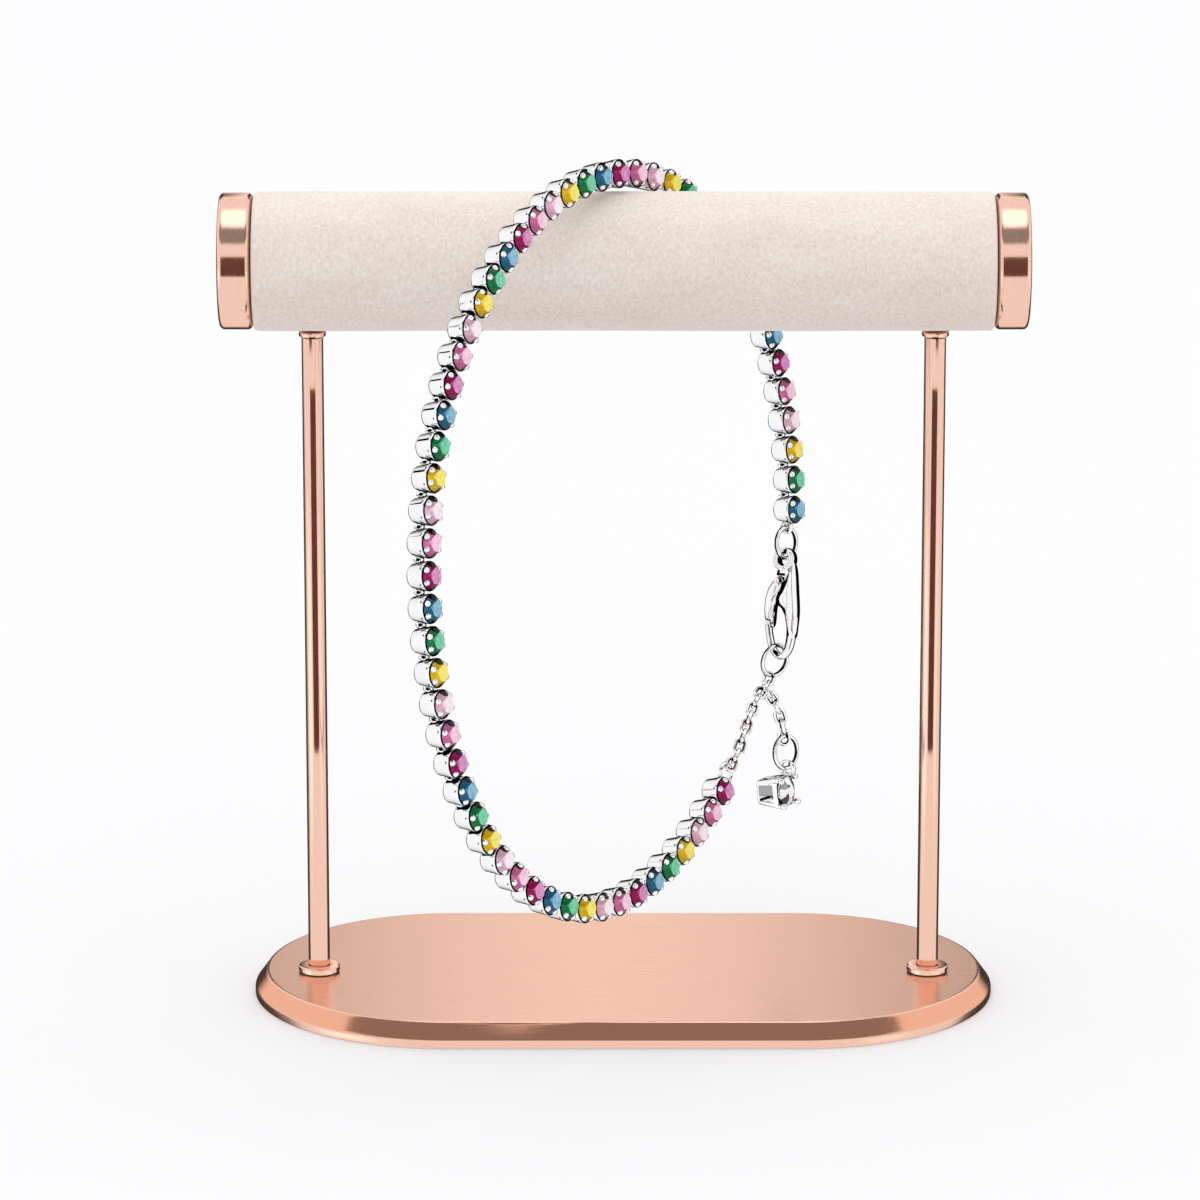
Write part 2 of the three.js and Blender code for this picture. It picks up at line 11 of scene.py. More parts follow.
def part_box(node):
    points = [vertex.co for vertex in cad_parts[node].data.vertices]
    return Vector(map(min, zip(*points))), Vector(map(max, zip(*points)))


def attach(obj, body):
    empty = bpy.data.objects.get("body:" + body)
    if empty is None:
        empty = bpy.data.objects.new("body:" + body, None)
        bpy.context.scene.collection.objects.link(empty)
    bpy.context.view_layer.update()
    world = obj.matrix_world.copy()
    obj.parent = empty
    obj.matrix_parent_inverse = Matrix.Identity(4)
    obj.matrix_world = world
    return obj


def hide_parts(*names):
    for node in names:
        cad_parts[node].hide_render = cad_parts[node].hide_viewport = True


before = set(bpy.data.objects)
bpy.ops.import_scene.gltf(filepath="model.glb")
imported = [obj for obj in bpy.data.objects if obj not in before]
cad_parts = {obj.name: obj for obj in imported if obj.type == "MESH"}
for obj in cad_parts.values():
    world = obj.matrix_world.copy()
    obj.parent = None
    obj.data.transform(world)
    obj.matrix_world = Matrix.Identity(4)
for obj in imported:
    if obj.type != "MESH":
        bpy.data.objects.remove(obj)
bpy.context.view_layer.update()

bl_info = {
    "name": "Bracelet on a display stand",
    "version": (1, 0, 0),
    "blender": (4, 5, 0),
    "location": "View3D > Sidebar > Bracelet",
    "description": "Models the finished surfaces of a stone-set bracelet and its stand",
    "category": "Object",
}

MM = 0.001
PAINTED_SHADE = "recess"          # face attribute: 1 where the silver is painted near black, as painted shade and dark reflections
PAINTED_FACET_LIGHT = "facet_tone"  # face attribute: the painted light and shade of each facet
POLISHED_AND_PAINTED_DARK = "polished"      # face attribute: 1 where brushed metal has a polished edge, which is also painted darker as a painted dark reflection
MAIN_BODY = "stand_and_bracelet"
LEVER_BODY = "lever"


# ------------------------------------------------------------------ sizes and colours

def length(name, description, millimetres):
    """A length that the sidebar shows in the scene's own units."""
    return FloatProperty(name=name, description=description, default=millimetres * MM, unit="LENGTH",
                         precision=5)


def angle(name, description, in_degrees):
    return FloatProperty(name=name, description=description, default=radians(in_degrees), unit="ROTATION")


def colour(name, description, hex_value):
    return FloatVectorProperty(name=name, description=description, default=linear(hex_value), size=4,
                               min=0, max=1, subtype="COLOR")


def linear(hex_value):
    """An sRGB hex colour, such as "F7CAB4", as linear red, green, blue and alpha."""
    parts = [int(hex_value[i:i + 2], 16) / 255 for i in (0, 2, 4)]
    return tuple(c / 12.92 if c <= 0.04045 else ((c + 0.055) / 1.055) ** 2.4 for c in parts) + (1.0,)


class StandSizes(bpy.types.PropertyGroup):
    chamfer_width: length("Chamfer width", "How far the base plate's chamfer reaches in from its edge", 1.1)
    chamfer_height: length("Chamfer height", "How far the chamfer reaches down the plate's side", 1.5)
    edge_softening: length("Edge softening", "Radius of the plate's rounded edges", 0.12)
    collar_rounding: length("Collar rounding", "Radius of the upper edge of each post's collar", 0.16)
    seat_gap: length("Seat gap", "Gap between pieces of the stand that touch", 0.1)
    cap_rounding: length("Cap rounding", "Radius of the end caps' rims", 0.45)
    cap_step: length("Cap step", "Depth of the shallow step round a cap's outer face", 0.25)
    roll_rounding: length("Roll rounding", "How far the velvet turns over at the ends of the bar", 0.4)
    roll_unevenness: length("Roll unevenness", "How much the padding swells and dips", 0.05)


class BraceletSizes(bpy.types.PropertyGroup):
    loop_turn: angle("Loop turn", "Turn of the loop about the vertical, from the bar's direction", 56.75)
    loop_lean: angle("Loop lean", "How far above level the stones look", 7)
    loop_radius: length("Loop radius", "Mean radius of the loop's line", 30.23)
    setting_count: IntProperty(name="Settings", description="Number of cup settings", default=60)
    run_length: IntProperty(name="Settings in a run", description="One round of the colours", default=6)
    pitch: length("Pitch", "Distance between two settings along the loop", 2.751)
    first_at: length("First setting", "Place of the first setting along the loop", -3.25)
    cup_radius: length("Cup radius", "Radius of a cup", 1.29)
    cup_waist: length("Waist radius", "Radius of a cup at its foot", 1.06)
    cup_flare: length("Flare", "From the rim down to where a cup starts to narrow", 0.2)
    cup_turn: length("Flare rounding", "Radius of the bend where a cup starts to narrow", 0.6)
    cup_rounding: length("Foot rounding", "Radius of the edge of a cup's foot", 0.3)
    cup_depth: length("Cup depth", "From the rim to the foot", 1.85)
    # The rim's darkness is painted shade, from the cup's marked faces
    rim_width: length("Rim width", "Width of the dark rim round a stone", 0.09)
    rim_w: length("Rim height", "Height of the rims above the loop's plane", -0.2)
    prong_radius: length("Prong radius", "Radius of the bead on each prong", 0.3)
    prong_height: length("Prong height", "Height of the beads above the rim", 0.2)
    prong_reach: length("Prong reach", "From a cup's axis to its beads", 0.96)
    prong_turn: angle("Prong turn", "Turn of the prongs from the loop's direction", 57)
    link_w: length("Link height", "Height of the links above the loop's plane", -1.4)
    link_radius: length("Link radius", "Radius of the small ring between two cups", 0.36)
    link_wire: length("Link wire", "Radius of the wire of those rings", 0.19)
    link_narrowing: FloatProperty(name="Link narrowing", default=0.66,
                                  description="Width of those rings, as a share of their height")
    stone_radius: length("Stone radius", "Radius of a stone at its girdle", 1.17)
    stone_table: length("Table radius", "Radius of a stone's flat table", 0.72)
    stone_crown: length("Crown height", "From the girdle to the table", 0.58)
    stone_pavilion: length("Pavilion depth", "From the girdle to the point", 0.95)


class ClaspSizes(bpy.types.PropertyGroup):
    wire: length("Wire", "Radius of the wire of the rings and eyes", 0.2)
    lean: angle("Clasp lean", "How far the clasp hangs away from the loop's own upright", 15)
    first_eye_radius: length("First eye", "Radius of the eye under the first cup", 0.45)
    first_eye_reach: length("First eye reach", "From the first cup's axis to its eye", 1.62)
    last_eye_radius: length("Last eye", "Radius of the eye beside the last cup", 0.9)
    last_eye_reach: length("Last eye reach", "From the last cup's axis to its eye", 2.15)
    eye_w: length("Eye height", "Height of both eyes above the loop's plane", -1.05)
    jump_ring: length("Jump ring", "Radius of the ring that carries the clasp", 1.42)
    hook_ring: length("Hook ring", "Radius of the ring that the clasp holds", 1.45)
    end_ring: length("End ring", "Radius of the ring that carries the drop", 1.5)
    eyelet_radius: length("Eyelet radius", "Outer radius of the clasp's eyelet", 1.1)
    eyelet_hole: length("Eyelet hole", "Radius of the hole in the eyelet", 0.6)
    eyelet_drop: length("Eyelet drop", "How far the eyelet hangs below the wire that carries it", 0.12)
    claw_thickness: length("Claw thickness", "Thickness of the clasp over its cheeks", 1.7)
    core_thickness: length("Hook thickness", "Thickness of the clasp's hook and neck", 1.0)
    lever_thickness: length("Lever thickness", "Thickness of the sprung lever", 0.8)
    lever_play: length("Lever play", "Gap on both sides of the lever in its slot", 0.15)
    pin_radius: length("Pin radius", "Radius of the lever's pin", 0.3)


class ChainSizes(bpy.types.PropertyGroup):
    wire: length("Link wire", "Radius of the wire of the chain's links", 0.17)
    link_length: length("Link length", "Outer length of a link", 1.72)
    link_width: length("Link width", "Outer width of a link", 1.22)
    pitch: length("Link pitch", "Distance from one link to the next", 1.12)


class DropSizes(bpy.types.PropertyGroup):
    side: length("Side", "Side of the square basket", 2.9)
    depth: length("Depth", "Depth of the basket", 2.35)
    corner: length("Corner", "Radius of the basket's corners", 0.5)
    taper: FloatProperty(name="Taper", default=0.22,
                         description="How much narrower the basket is at its foot")
    window: length("Window", "Width of the window in each side", 1.85)
    window_top: length("Window top", "Upper edge of the windows", -0.45)
    window_foot: length("Window foot", "Lower edge of the windows", -2.1)
    stone_radius: length("Stone radius", "Radius of the clear stone", 1.32)
    stone_table: length("Table radius", "Radius of the clear stone's table", 0.55)
    stone_crown: length("Crown height", "From the clear stone's girdle to its table", 0.47)
    stone_pavilion: length("Pavilion depth", "From the clear stone's girdle to its point", 0.92)
    stone_lift: length("Stone lift", "How far the girdle stands above the basket", 0.2)
    wall: length("Wall", "Thickness of the basket's sides", 0.27)
    foot_thickness: length("Foot thickness", "Thickness of the basket's foot", 0.35)
    stem_radius: length("Stem radius", "Radius of the prongs under their beads", 0.19)
    prong_radius: length("Prong radius", "Radius of the prongs' beads", 0.31)
    prong_height: length("Prong height", "Height of the beads above the basket's rim", 0.47)
    prong_at: length("Prong place", "From the stone's axis to each prong, along both sides", 1.18)


class FinishColours(bpy.types.PropertyGroup):
    rose: colour("Rose plating", "Colour of the stand's metal where it mirrors white", "F7CBB6")
    silver: colour("Silver", "Colour of the bracelet's metal where it mirrors white", "FAFAFC")
    # Painted shade: the near black painted on the silver's marked faces, in place of shade and dark
    # reflections
    painted_shade_colour: colour("Painted_shade", "Colour of the silver in its recesses", "121214")
    velvet: colour("Velvet", "Colour of the velvet where the pile stands upright", "E9E1D8")
    velvet_shade: colour("Velvet shade", "Colour of the velvet where the pile leans over", "D4C5BA")
    # Stone colours: each facet is painted between black, the deep colour and the pale one, whose pale end is
    # a painted highlight
    blue: colour("Blue stone", "Deep colour of the blue stones", "1C6283")
    blue_pale: colour("Pale blue", "Palest colour of the blue stones", "93C4DD")
    green: colour("Green stone", "Deep colour of the green stones", "0B7842")
    green_pale: colour("Pale green", "Palest colour of the green stones", "7ED9B0")
    yellow: colour("Yellow stone", "Deep colour of the yellow stones", "E3BA10")
    yellow_pale: colour("Pale yellow", "Palest colour of the yellow stones", "FFF27A")
    light_pink: colour("Light pink stone", "Deep colour of the light pink stones", "EAB6CC")
    light_pink_pale: colour("Pale light pink", "Palest colour of the light pink stones", "FFF6FA")
    pink: colour("Pink stone", "Deep colour of the pink stones", "D26A9E")
    pink_pale: colour("Pale pink", "Palest colour of the pink stones", "FFD9EC")
    magenta: colour("Magenta stone", "Deep colour of the magenta stones", "9C0458")
    magenta_pale: colour("Pale magenta", "Palest colour of the magenta stones", "E09CCD")
    clear: colour("Clear stone", "Middle colour of the clear stone", "EEF0F2")
    clear_pale: colour("Pale clear", "Palest colour of the clear stone", "FFFFFF")
    floor: colour("Floor", "Colour of the floor", "E4E4E6")


# ------------------------------------------------------------------ modelling helpers

def mark_faces(bm, layer_name, value_of):
    """Give every face a number, worked out from the face."""
    layer = bm.faces.layers.float.get(layer_name) or bm.faces.layers.float.new(layer_name)
    for face in bm.faces:
        face[layer] = float(value_of(face))


def add_object(name, bm, material=None):
    """Put a bmesh into the scene as an object, and free it."""
    mesh = bpy.data.meshes.new(name)
    bm.to_mesh(mesh)
    bm.free()
    if material:
        mesh.materials.append(material)
    made = bpy.data.objects.new(name, mesh)
    bpy.context.scene.collection.objects.link(made)
    return made


def finish_piece(name, bm, material, slot, replaces=(), transform=None, smooth_under=radians(32),
                 body=MAIN_BODY):
    """Make the finished object of a piece, with its place in its mesh."""
    if transform is not None:
        bmesh.ops.transform(bm, matrix=transform, verts=bm.verts)
    bmesh.ops.recalc_face_normals(bm, faces=bm.faces)
    piece = add_object(name, bm, material)
    if smooth_under:
        piece.data.shade_smooth()
        piece.data.set_sharp_from_angle(angle=smooth_under)
    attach(piece, body)
    if replaces:
        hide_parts(*replaces)
    return piece


def lathe(points, steps, closed=False):
    """A solid of revolution about Z from (radius, height) points."""
    bm = bmesh.new()
    verts = [bm.verts.new((radius, 0, height)) for radius, height in points]
    pairs = list(zip(verts, verts[1:]))
    if closed:
        pairs.append((verts[-1], verts[0]))
    edges = [bm.edges.new(pair) for pair in pairs]
    bmesh.ops.spin(bm, geom=verts + edges, cent=(0, 0, 0), axis=(0, 0, 1), angle=2 * pi, steps=steps,
                   use_merge=True)
    bmesh.ops.remove_doubles(bm, verts=bm.verts, dist=1e-7)
    bmesh.ops.dissolve_degenerate(bm, edges=bm.edges, dist=1e-7)
    bmesh.ops.recalc_face_normals(bm, faces=bm.faces)
    return bm


def arc(centre, radii, start, end, steps):
    """Points of an elliptical arc from one angle to another, both ends included."""
    turn = [start + (end - start) * i / steps for i in range(steps + 1)]
    return [(centre[0] + radii[0] * cos(a), centre[1] + radii[1] * sin(a)) for a in turn]


def wire_ring(radius, wire, steps, sides):
    """A ring of round wire about Z."""
    turns = [2 * pi * i / sides for i in range(sides)]
    return lathe([(radius + wire * cos(turn), wire * sin(turn)) for turn in turns], steps, closed=True)


def paint_shade_on_edges(bm, radius, wire, outer=0.8):
    """Mark painted shade and dark reflections on the silver: inside a wire ring, and outside it from a share
    of the wire on.
    """
    def painted_shade_at(face):
        off = Vector(face.calc_center_median()[:2]).length - radius
        return off < -wire * 0.5 or off > wire * outer

    mark_faces(bm, PAINTED_SHADE, painted_shade_at)


def stamp(target, source, matrix=None):
    """Add a copy of one bmesh to another."""
    mesh = bpy.data.meshes.new("stamp")
    source.to_mesh(mesh)
    if matrix is not None:
        mesh.transform(matrix)
    target.from_mesh(mesh)
    bpy.data.meshes.remove(mesh)


def join(target, source, matrix=None):
    """Add one bmesh to another and free it."""
    stamp(target, source, matrix)
    source.free()


def bevel_sharp(bm, offset, segments, over=radians(25)):
    """Round the edges where a shape turns by more than a given angle."""
    sharp = [edge for edge in bm.edges if len(edge.link_faces) == 2 and edge.calc_face_angle() > over]
    bmesh.ops.bevel(bm, geom=sharp, offset=offset, segments=segments, profile=0.5, affect="EDGES",
                    material=-1, clamp_overlap=True)


def outline_plate(points, height, dome, narrowing, rings=4):
    """A plate with a given outline, its upper face drawn in towards the middle and raised into a dome."""
    bm = bmesh.new()
    face = bm.faces.new([bm.verts.new((x, y, 0)) for x, y in points])
    walls = bmesh.ops.extrude_face_region(bm, geom=[face])
    top = [item for item in walls["geom"] if isinstance(item, bmesh.types.BMVert)]
    bmesh.ops.translate(bm, vec=(0, 0, height), verts=top)
    upper = next(item for item in walls["geom"] if isinstance(item, bmesh.types.BMFace))
    centre = upper.calc_center_median()
    level = 0.0
    share = 1.0
    for ring in range(1, rings + 1):
        turn = ring / rings * pi / 2
        raised = bmesh.ops.extrude_face_region(bm, geom=[upper])
        upper = next(item for item in raised["geom"] if isinstance(item, bmesh.types.BMFace))
        wanted = 1 - narrowing * (1 - cos(turn))
        bmesh.ops.scale(bm, vec=(wanted / share, wanted / share, 1), verts=upper.verts,
                        space=Matrix.Translation(-centre))
        bmesh.ops.translate(bm, vec=(0, 0, dome * sin(turn) - level), verts=upper.verts)
        level = dome * sin(turn)
        share = wanted
    bmesh.ops.recalc_face_normals(bm, faces=bm.faces)
    return bm


def pillow(points, half, dome, narrowing):
    """A plate with both faces domed, even about Z."""
    bm = outline_plate(points, half - dome, dome, narrowing)
    back = bm.copy()
    bmesh.ops.scale(back, vec=(1, 1, -1), verts=back.verts)
    join(bm, back)
    bmesh.ops.remove_doubles(bm, verts=bm.verts, dist=1e-7)
    inner = [face for face in bm.faces if all(abs(vert.co.z) < 1e-8 for vert in face.verts)]
    bmesh.ops.delete(bm, geom=inner, context="FACES")
    bmesh.ops.recalc_face_normals(bm, faces=bm.faces)
    return bm


def shape_with_cuts(solid, removed, voxel=None, smoothing=0):
    """Cut solids away from another; with a voxel size, overlapping parts melt together as in a casting."""
    for bm in (solid, *removed):
        bmesh.ops.recalc_face_normals(bm, faces=bm.faces)
    base = add_object("casting", solid)
    tools = [add_object("cutter", bm) for bm in removed]
    if voxel:
        melt_together(base, voxel)
    for tool in tools:
        cut = base.modifiers.new("shape", "BOOLEAN")
        cut.operation = "DIFFERENCE"
        cut.solver = "EXACT"
        cut.object = tool
    if voxel:
        melt_together(base, voxel)
        soften = base.modifiers.new("soften", "SMOOTH")
        soften.iterations = smoothing
        soften.factor = 0.5
    bpy.context.view_layer.update()
    shaped = base.evaluated_get(bpy.context.evaluated_depsgraph_get())
    bm = bmesh.new()
    bm.from_mesh(shaped.to_mesh())
    shaped.to_mesh_clear()
    for made in [base] + tools:
        bpy.data.meshes.remove(made.data)
    return bm


def melt_together(solid, voxel):
    melt = solid.modifiers.new("melt", "REMESH")
    melt.mode = "VOXEL"
    melt.voxel_size = voxel


def catmull_rom(a, b, c, d, t):
    """The point a share t of the way from b to c, on a smooth line through all four."""
    return 0.5 * (2 * b + (c - a) * t + (2 * a - 5 * b + 4 * c - d) * t * t
                  + (3 * b - a - 3 * c + d) * t ** 3)


def smooth_line(points, steps):
    """A smooth line through the points: a list of (place, direction)."""
    ends = [points[0] * 2 - points[1]] + list(points) + [points[-1] * 2 - points[-2]]
    line = []
    for i in range(1, len(ends) - 2):
        a, b, c, d = ends[i - 1:i + 3]
        for k in range(steps):
            t = k / steps
            slope = (c - a) + 2 * (2 * a - 5 * b + 4 * c - d) * t + 3 * (3 * b - a - 3 * c + d) * t * t
            line.append((catmull_rom(a, b, c, d, t), slope.normalized()))
    line.append((points[-1].copy(), (points[-1] - points[-2]).normalized()))
    return line


def closed_curve(points, steps=4):
    """Points of a smooth closed outline through the given ones."""
    count = len(points)
    line = []
    for i in range(count):
        near = [Vector(points[(i + k) % count]) for k in (-1, 0, 1, 2)]
        line += [catmull_rom(*near, k / steps) for k in range(steps)]
    return line


# ------------------------------------------------------------------ material helpers

def plug(tree, node, inputs):
    """Set a node's sockets: each one to a value, or to another node's output."""
    for socket, value in inputs.items():
        if isinstance(value, bpy.types.NodeSocket):
            tree.links.new(value, node.inputs[socket])
        else:
            node.inputs[socket].default_value = value


def add_node(tree, kind, inputs=None, **settings):
    """Add a node with its options, and set its sockets."""
    node = tree.nodes.new(kind)
    for name, value in settings.items():
        setattr(node, name, value)
    plug(tree, node, inputs or {})
    return node


def new_material(name, **shader_values):
    """A material with one Principled shader, whose plain values go on its own sockets."""
    material = bpy.data.materials.get(name)
    if material:
        return material, None, None
    material = bpy.data.materials.new(name)
    material.use_nodes = True
    tree = material.node_tree
    shader = tree.nodes["Principled BSDF"]
    for socket, value in shader_values.items():
        shader.inputs[socket.replace("_", " ")].default_value = value
    return material, tree, shader


def grain(tree, frequency, detail=2.0, roughness=0.5):
    """Noise on Object coordinates, with its own frequency along each axis in cycles a metre."""
    place = add_node(tree, "ShaderNodeTexCoord").outputs["Object"]
    scaled = add_node(tree, "ShaderNodeMapping", {"Scale": frequency, "Vector": place}).outputs["Vector"]
    return add_node(tree, "ShaderNodeTexNoise", {"Scale": 1.0, "Detail": detail, "Roughness": roughness,
                                                 "Vector": scaled}).outputs["Fac"]


def remap(tree, source, low, high, start=0.3, end=0.7, **settings):
    limits = {"From Min": start, "From Max": end, "To Min": low, "To Max": high}
    return add_node(tree, "ShaderNodeMapRange", {"Value": source, **limits}, **settings).outputs["Result"]


def calculate(tree, operation, *terms):
    """The result of a math node on numbers and other nodes' outputs."""
    return add_node(tree, "ShaderNodeMath", dict(enumerate(terms)), operation=operation).outputs[0]


def tint(tree, factor, first, second):
    """A colour between two, by a factor."""
    return add_node(tree, "ShaderNodeMix", {0: factor, 6: first, 7: second}, data_type="RGBA").outputs[2]


def face_value(tree, layer_name):
    return add_node(tree, "ShaderNodeAttribute", attribute_name=layer_name).outputs["Fac"]


def relief(tree, height, strength, depth):
    """Small bumps and hollows, as a normal."""
    return add_node(tree, "ShaderNodeBump", {"Strength": strength, "Distance": depth,
                                             "Height": height}).outputs["Normal"]


def scaled_colour(value, factor):
    return tuple(min(c * factor, 1.0) for c in value[:3]) + (1.0,)


def finish_colour(name):
    return tuple(getattr(bpy.context.scene.finish_colours, name))


# What each metal still mirrors where it is seen along its surface; the silver's near-black value paints a
# dark outline round every silver piece.
ROSE_AT_GRAZING = (0.97, 0.82, 0.75, 1)
SILVER_EDGE_PAINTED_DARK = (0.03, 0.03, 0.04, 1)


def brushed_rose_plating():
    """Rose-gold PVD over brushed steel: long fine scratches smear what it mirrors along the bar."""
    material, tree, shader = new_material("brushed rose-gold PVD steel", Metallic=1.0,
                                          Specular_Tint=ROSE_AT_GRAZING)
    if tree:
        rose = finish_colour("rose")
        # painted dark reflection: the chamfer is painted a deeper, darker rose; its lower roughness is the
        # real polish
        painted_dark_rose = (rose[0] * 0.95, rose[1] * 0.72, rose[2] * 0.6, 1.0)
        # real scratches are about 0.02 mm wide; these are 0.2 mm, so that they show
        scratches = grain(tree, (170, 5000, 5000), 3)
        speckle = grain(tree, (5200, 5200, 5200), 2)
        polished = face_value(tree, POLISHED_AND_PAINTED_DARK)
        brushed = tint(tree, remap(tree, scratches, 0, 1), scaled_colour(rose, 0.93), rose)
        plug(tree, shader, {
            "Base Color": tint(tree, polished, brushed, painted_dark_rose),
            "Roughness": calculate(tree, "MULTIPLY_ADD", polished, -0.12, remap(tree, scratches, 0.2, 0.28)),
            "Normal": relief(tree, calculate(tree, "MULTIPLY_ADD", scratches, 0.5, speckle), strength=0.1,
                             depth=0.02 * MM),
        })
    return material


def polished_rose_plating():
    """Rose-gold PVD over turned steel: a clear mirror with a faint turned grain."""
    material, tree, shader = new_material("polished rose-gold PVD steel", Metallic=1.0,
                                          Specular_Tint=ROSE_AT_GRAZING)
    if tree:
        rose = finish_colour("rose")
        lines = grain(tree, (3600, 3600, 900), 2)
        plug(tree, shader, {
            "Base Color": tint(tree, remap(tree, lines, 0, 1), scaled_colour(rose, 0.95), rose),
            "Roughness": remap(tree, lines, 0.1, 0.17),
        })
    return material


def cream_velvet():
    """Cotton velvet with a 1 mm pile: matt from the front, pale where the pile is seen from the side."""
    material, tree, shader = new_material("cream cotton velvet", Metallic=0.0, Roughness=0.95,
                                          Specular_IOR_Level=0.15, Sheen_Weight=0.45, Sheen_Roughness=0.45)
    if tree:
        nap = grain(tree, (3400, 3400, 2600), 4, 0.62)
        drift = grain(tree, (130, 260, 260), 3)
        mixed = calculate(tree, "MULTIPLY_ADD", drift, 0.35, nap)
        plug(tree, shader, {
            "Base Color": tint(tree, remap(tree, mixed, 0, 1, 0.42, 0.92), finish_colour("velvet_shade"),
                               finish_colour("velvet")),
            "Normal": relief(tree, nap, strength=0.35, depth=0.12 * MM),
        })
    return material


def polished_silver():
    """Rhodium-plated silver, buffed: a clear mirror, painted near black on faces marked for painted shade
    and dark reflections.
    """
    material, tree, shader = new_material("rhodium-plated polished silver", Metallic=1.0,
                                          Specular_Tint=SILVER_EDGE_PAINTED_DARK)
    if tree:
        silver = finish_colour("silver")
        haze = grain(tree, (900, 900, 900), 2)
        bright = tint(tree, remap(tree, haze, 0, 1), scaled_colour(silver, 0.97), silver)
        recess = face_value(tree, PAINTED_SHADE)
        plug(tree, shader, {
            # painted shade and dark reflections: marked faces take the near-black colour
            "Base Color": tint(tree, recess, bright, finish_colour("painted_shade_colour")),
            "Roughness": calculate(tree, "MULTIPLY_ADD", recess, 0.3, remap(tree, haze, 0.03, 0.07)),
        })
    return material


def cut_stone(colour_name, ior=1.76, clearness=0.12, gloss=0.04):
    """A faceted crystal: each facet is painted with its own light and shade, from black to the pale colour.
    """
    material, tree, shader = new_material(colour_name.replace("_", " ") + " crystal", Metallic=0.0,
                                          Roughness=0.03, IOR=ior, Transmission_Weight=clearness,
                                          Specular_IOR_Level=gloss)
    if tree:
        deep = finish_colour(colour_name)
        cloud = remap(tree, grain(tree, (2600, 2600, 2600), 2), 0.8, 1.12)
        # painted light and shade: the facet's value picks black, the deep colour or the pale painted
        # highlight
        share = calculate(tree, "MULTIPLY", face_value(tree, PAINTED_FACET_LIGHT), cloud)
        dark = tint(tree, remap(tree, share, 0, 1, 0, 0.5), scaled_colour(deep, 0.01), deep)
        pale = finish_colour(colour_name + "_pale")
        plug(tree, shader, {"Base Color": tint(tree, remap(tree, share, 0, 1, 0.5, 1), dark, pale)})
    return material


# ------------------------------------------------------------------ the stand

def middle(node):
    low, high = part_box(node)
    return (low + high) / 2


class StandBase(bpy.types.Operator):
    """Model the long oval base plate with its chamfer"""
    bl_idname = "bracelet.stand_base"
    bl_label = "Base plate"

    def execute(self, context):
        sizes = context.scene.stand_sizes
        low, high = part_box("base_plate")
        size = high - low
        radius = size.y / 2
        straight = size.x / 2 - radius
        segments = 144
        bm = bmesh.new()
        half_step = Matrix.Rotation(pi / segments, 4, "Z")
        bmesh.ops.create_circle(bm, cap_ends=True, radius=radius, segments=segments, matrix=half_step)
        for vert in bm.verts:
            vert.co.x += straight if vert.co.x > 0 else -straight
        raised = bmesh.ops.extrude_face_region(bm, geom=bm.faces[:])
        moved = [item for item in raised["geom"] if isinstance(item, bmesh.types.BMVert)]
        bmesh.ops.translate(bm, vec=(0, 0, size.z - sizes.chamfer_height), verts=moved)
        upper = [item for item in raised["geom"] if isinstance(item, bmesh.types.BMFace)]
        bmesh.ops.inset_region(bm, faces=upper, thickness=sizes.chamfer_width, use_even_offset=True)
        rim = {vert for face in upper for vert in face.verts}
        bmesh.ops.translate(bm, vec=(0, 0, sizes.chamfer_height), verts=list(rim))
        bmesh.ops.recalc_face_normals(bm, faces=bm.faces)
        bevel_sharp(bm, sizes.edge_softening, segments=3)
        flat = [face for face in bm.faces if len(face.verts) > 8]
        bmesh.ops.inset_region(bm, faces=flat, thickness=sizes.edge_softening, use_even_offset=True)
        chamfer = {face for face in bm.faces if self.slanted(face)}
        downhill = [edge for edge in bm.edges if set(edge.link_faces) <= chamfer and
                    abs(edge.verts[0].co.z - edge.verts[1].co.z) > sizes.chamfer_height / 2]
        bmesh.ops.subdivide_edges(bm, edges=downhill, cuts=6, use_grid_fill=True)
        # the chamfer is marked for its real polish and for its painted dark reflection
        mark_faces(bm, POLISHED_AND_PAINTED_DARK, self.slanted)
        centre = Vector((middle("base_plate").x, middle("base_plate").y, low.z))
        plate = finish_piece("brushed_base_plate", bm, brushed_rose_plating(), "rose_metal", ["base_plate"],
                             Matrix.Translation(centre))
        plate.visible_glossy = False
        return {"FINISHED"}

    @staticmethod
    def slanted(face):
        """True on the chamfer, but not on its rounded edges."""
        return 0.45 < face.normal.z < 0.7


class StandPosts(bpy.types.Operator):
    """Model the two rods, with their collars and the small flanges under the bar"""
    bl_idname = "bracelet.stand_posts"
    bl_label = "Posts"

    def execute(self, context):
        sizes = context.scene.stand_sizes
        for side in ("left", "right"):
            self.rod(f"post_{side}", "polished_rod_" + side, 0.04 * MM)
            self.rod(f"post_flange_{side}", "rod_flange_" + side, 0.1 * MM)
            low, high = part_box(f"post_collar_{side}")
            post_low, post_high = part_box(f"post_{side}")
            bore = (post_high.x - post_low.x) / 2 + sizes.seat_gap
            outer = (high.x - low.x) / 2
            height = high.z - low.z
            rounding = sizes.collar_rounding
            profile = [(bore, 0), (outer - rounding / 2, 0), (outer, rounding / 2)]
            profile += arc((outer - rounding, height - rounding), (rounding, rounding), 0, pi / 2, 5)
            profile += [(bore, height)]
            collar = lathe(profile, steps=72, closed=True)
            foot = Vector(((low.x + high.x) / 2, (low.y + high.y) / 2, low.z))
            finish_piece("rod_collar_" + side, collar, polished_rose_plating(), "rose_rod",
                         [f"post_collar_{side}"], Matrix.Translation(foot))
        return {"FINISHED"}

    def rod(self, node, name, softening):
        low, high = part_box(node)
        radius = (high.x - low.x) / 2
        bm = bmesh.new()
        bmesh.ops.create_cone(bm, cap_ends=True, segments=64, radius1=radius, radius2=radius,
                              depth=high.z - low.z)
        bevel_sharp(bm, softening, segments=2)
        finish_piece(name, bm, polished_rose_plating(), "rose_rod", [node], Matrix.Translation(middle(node)))


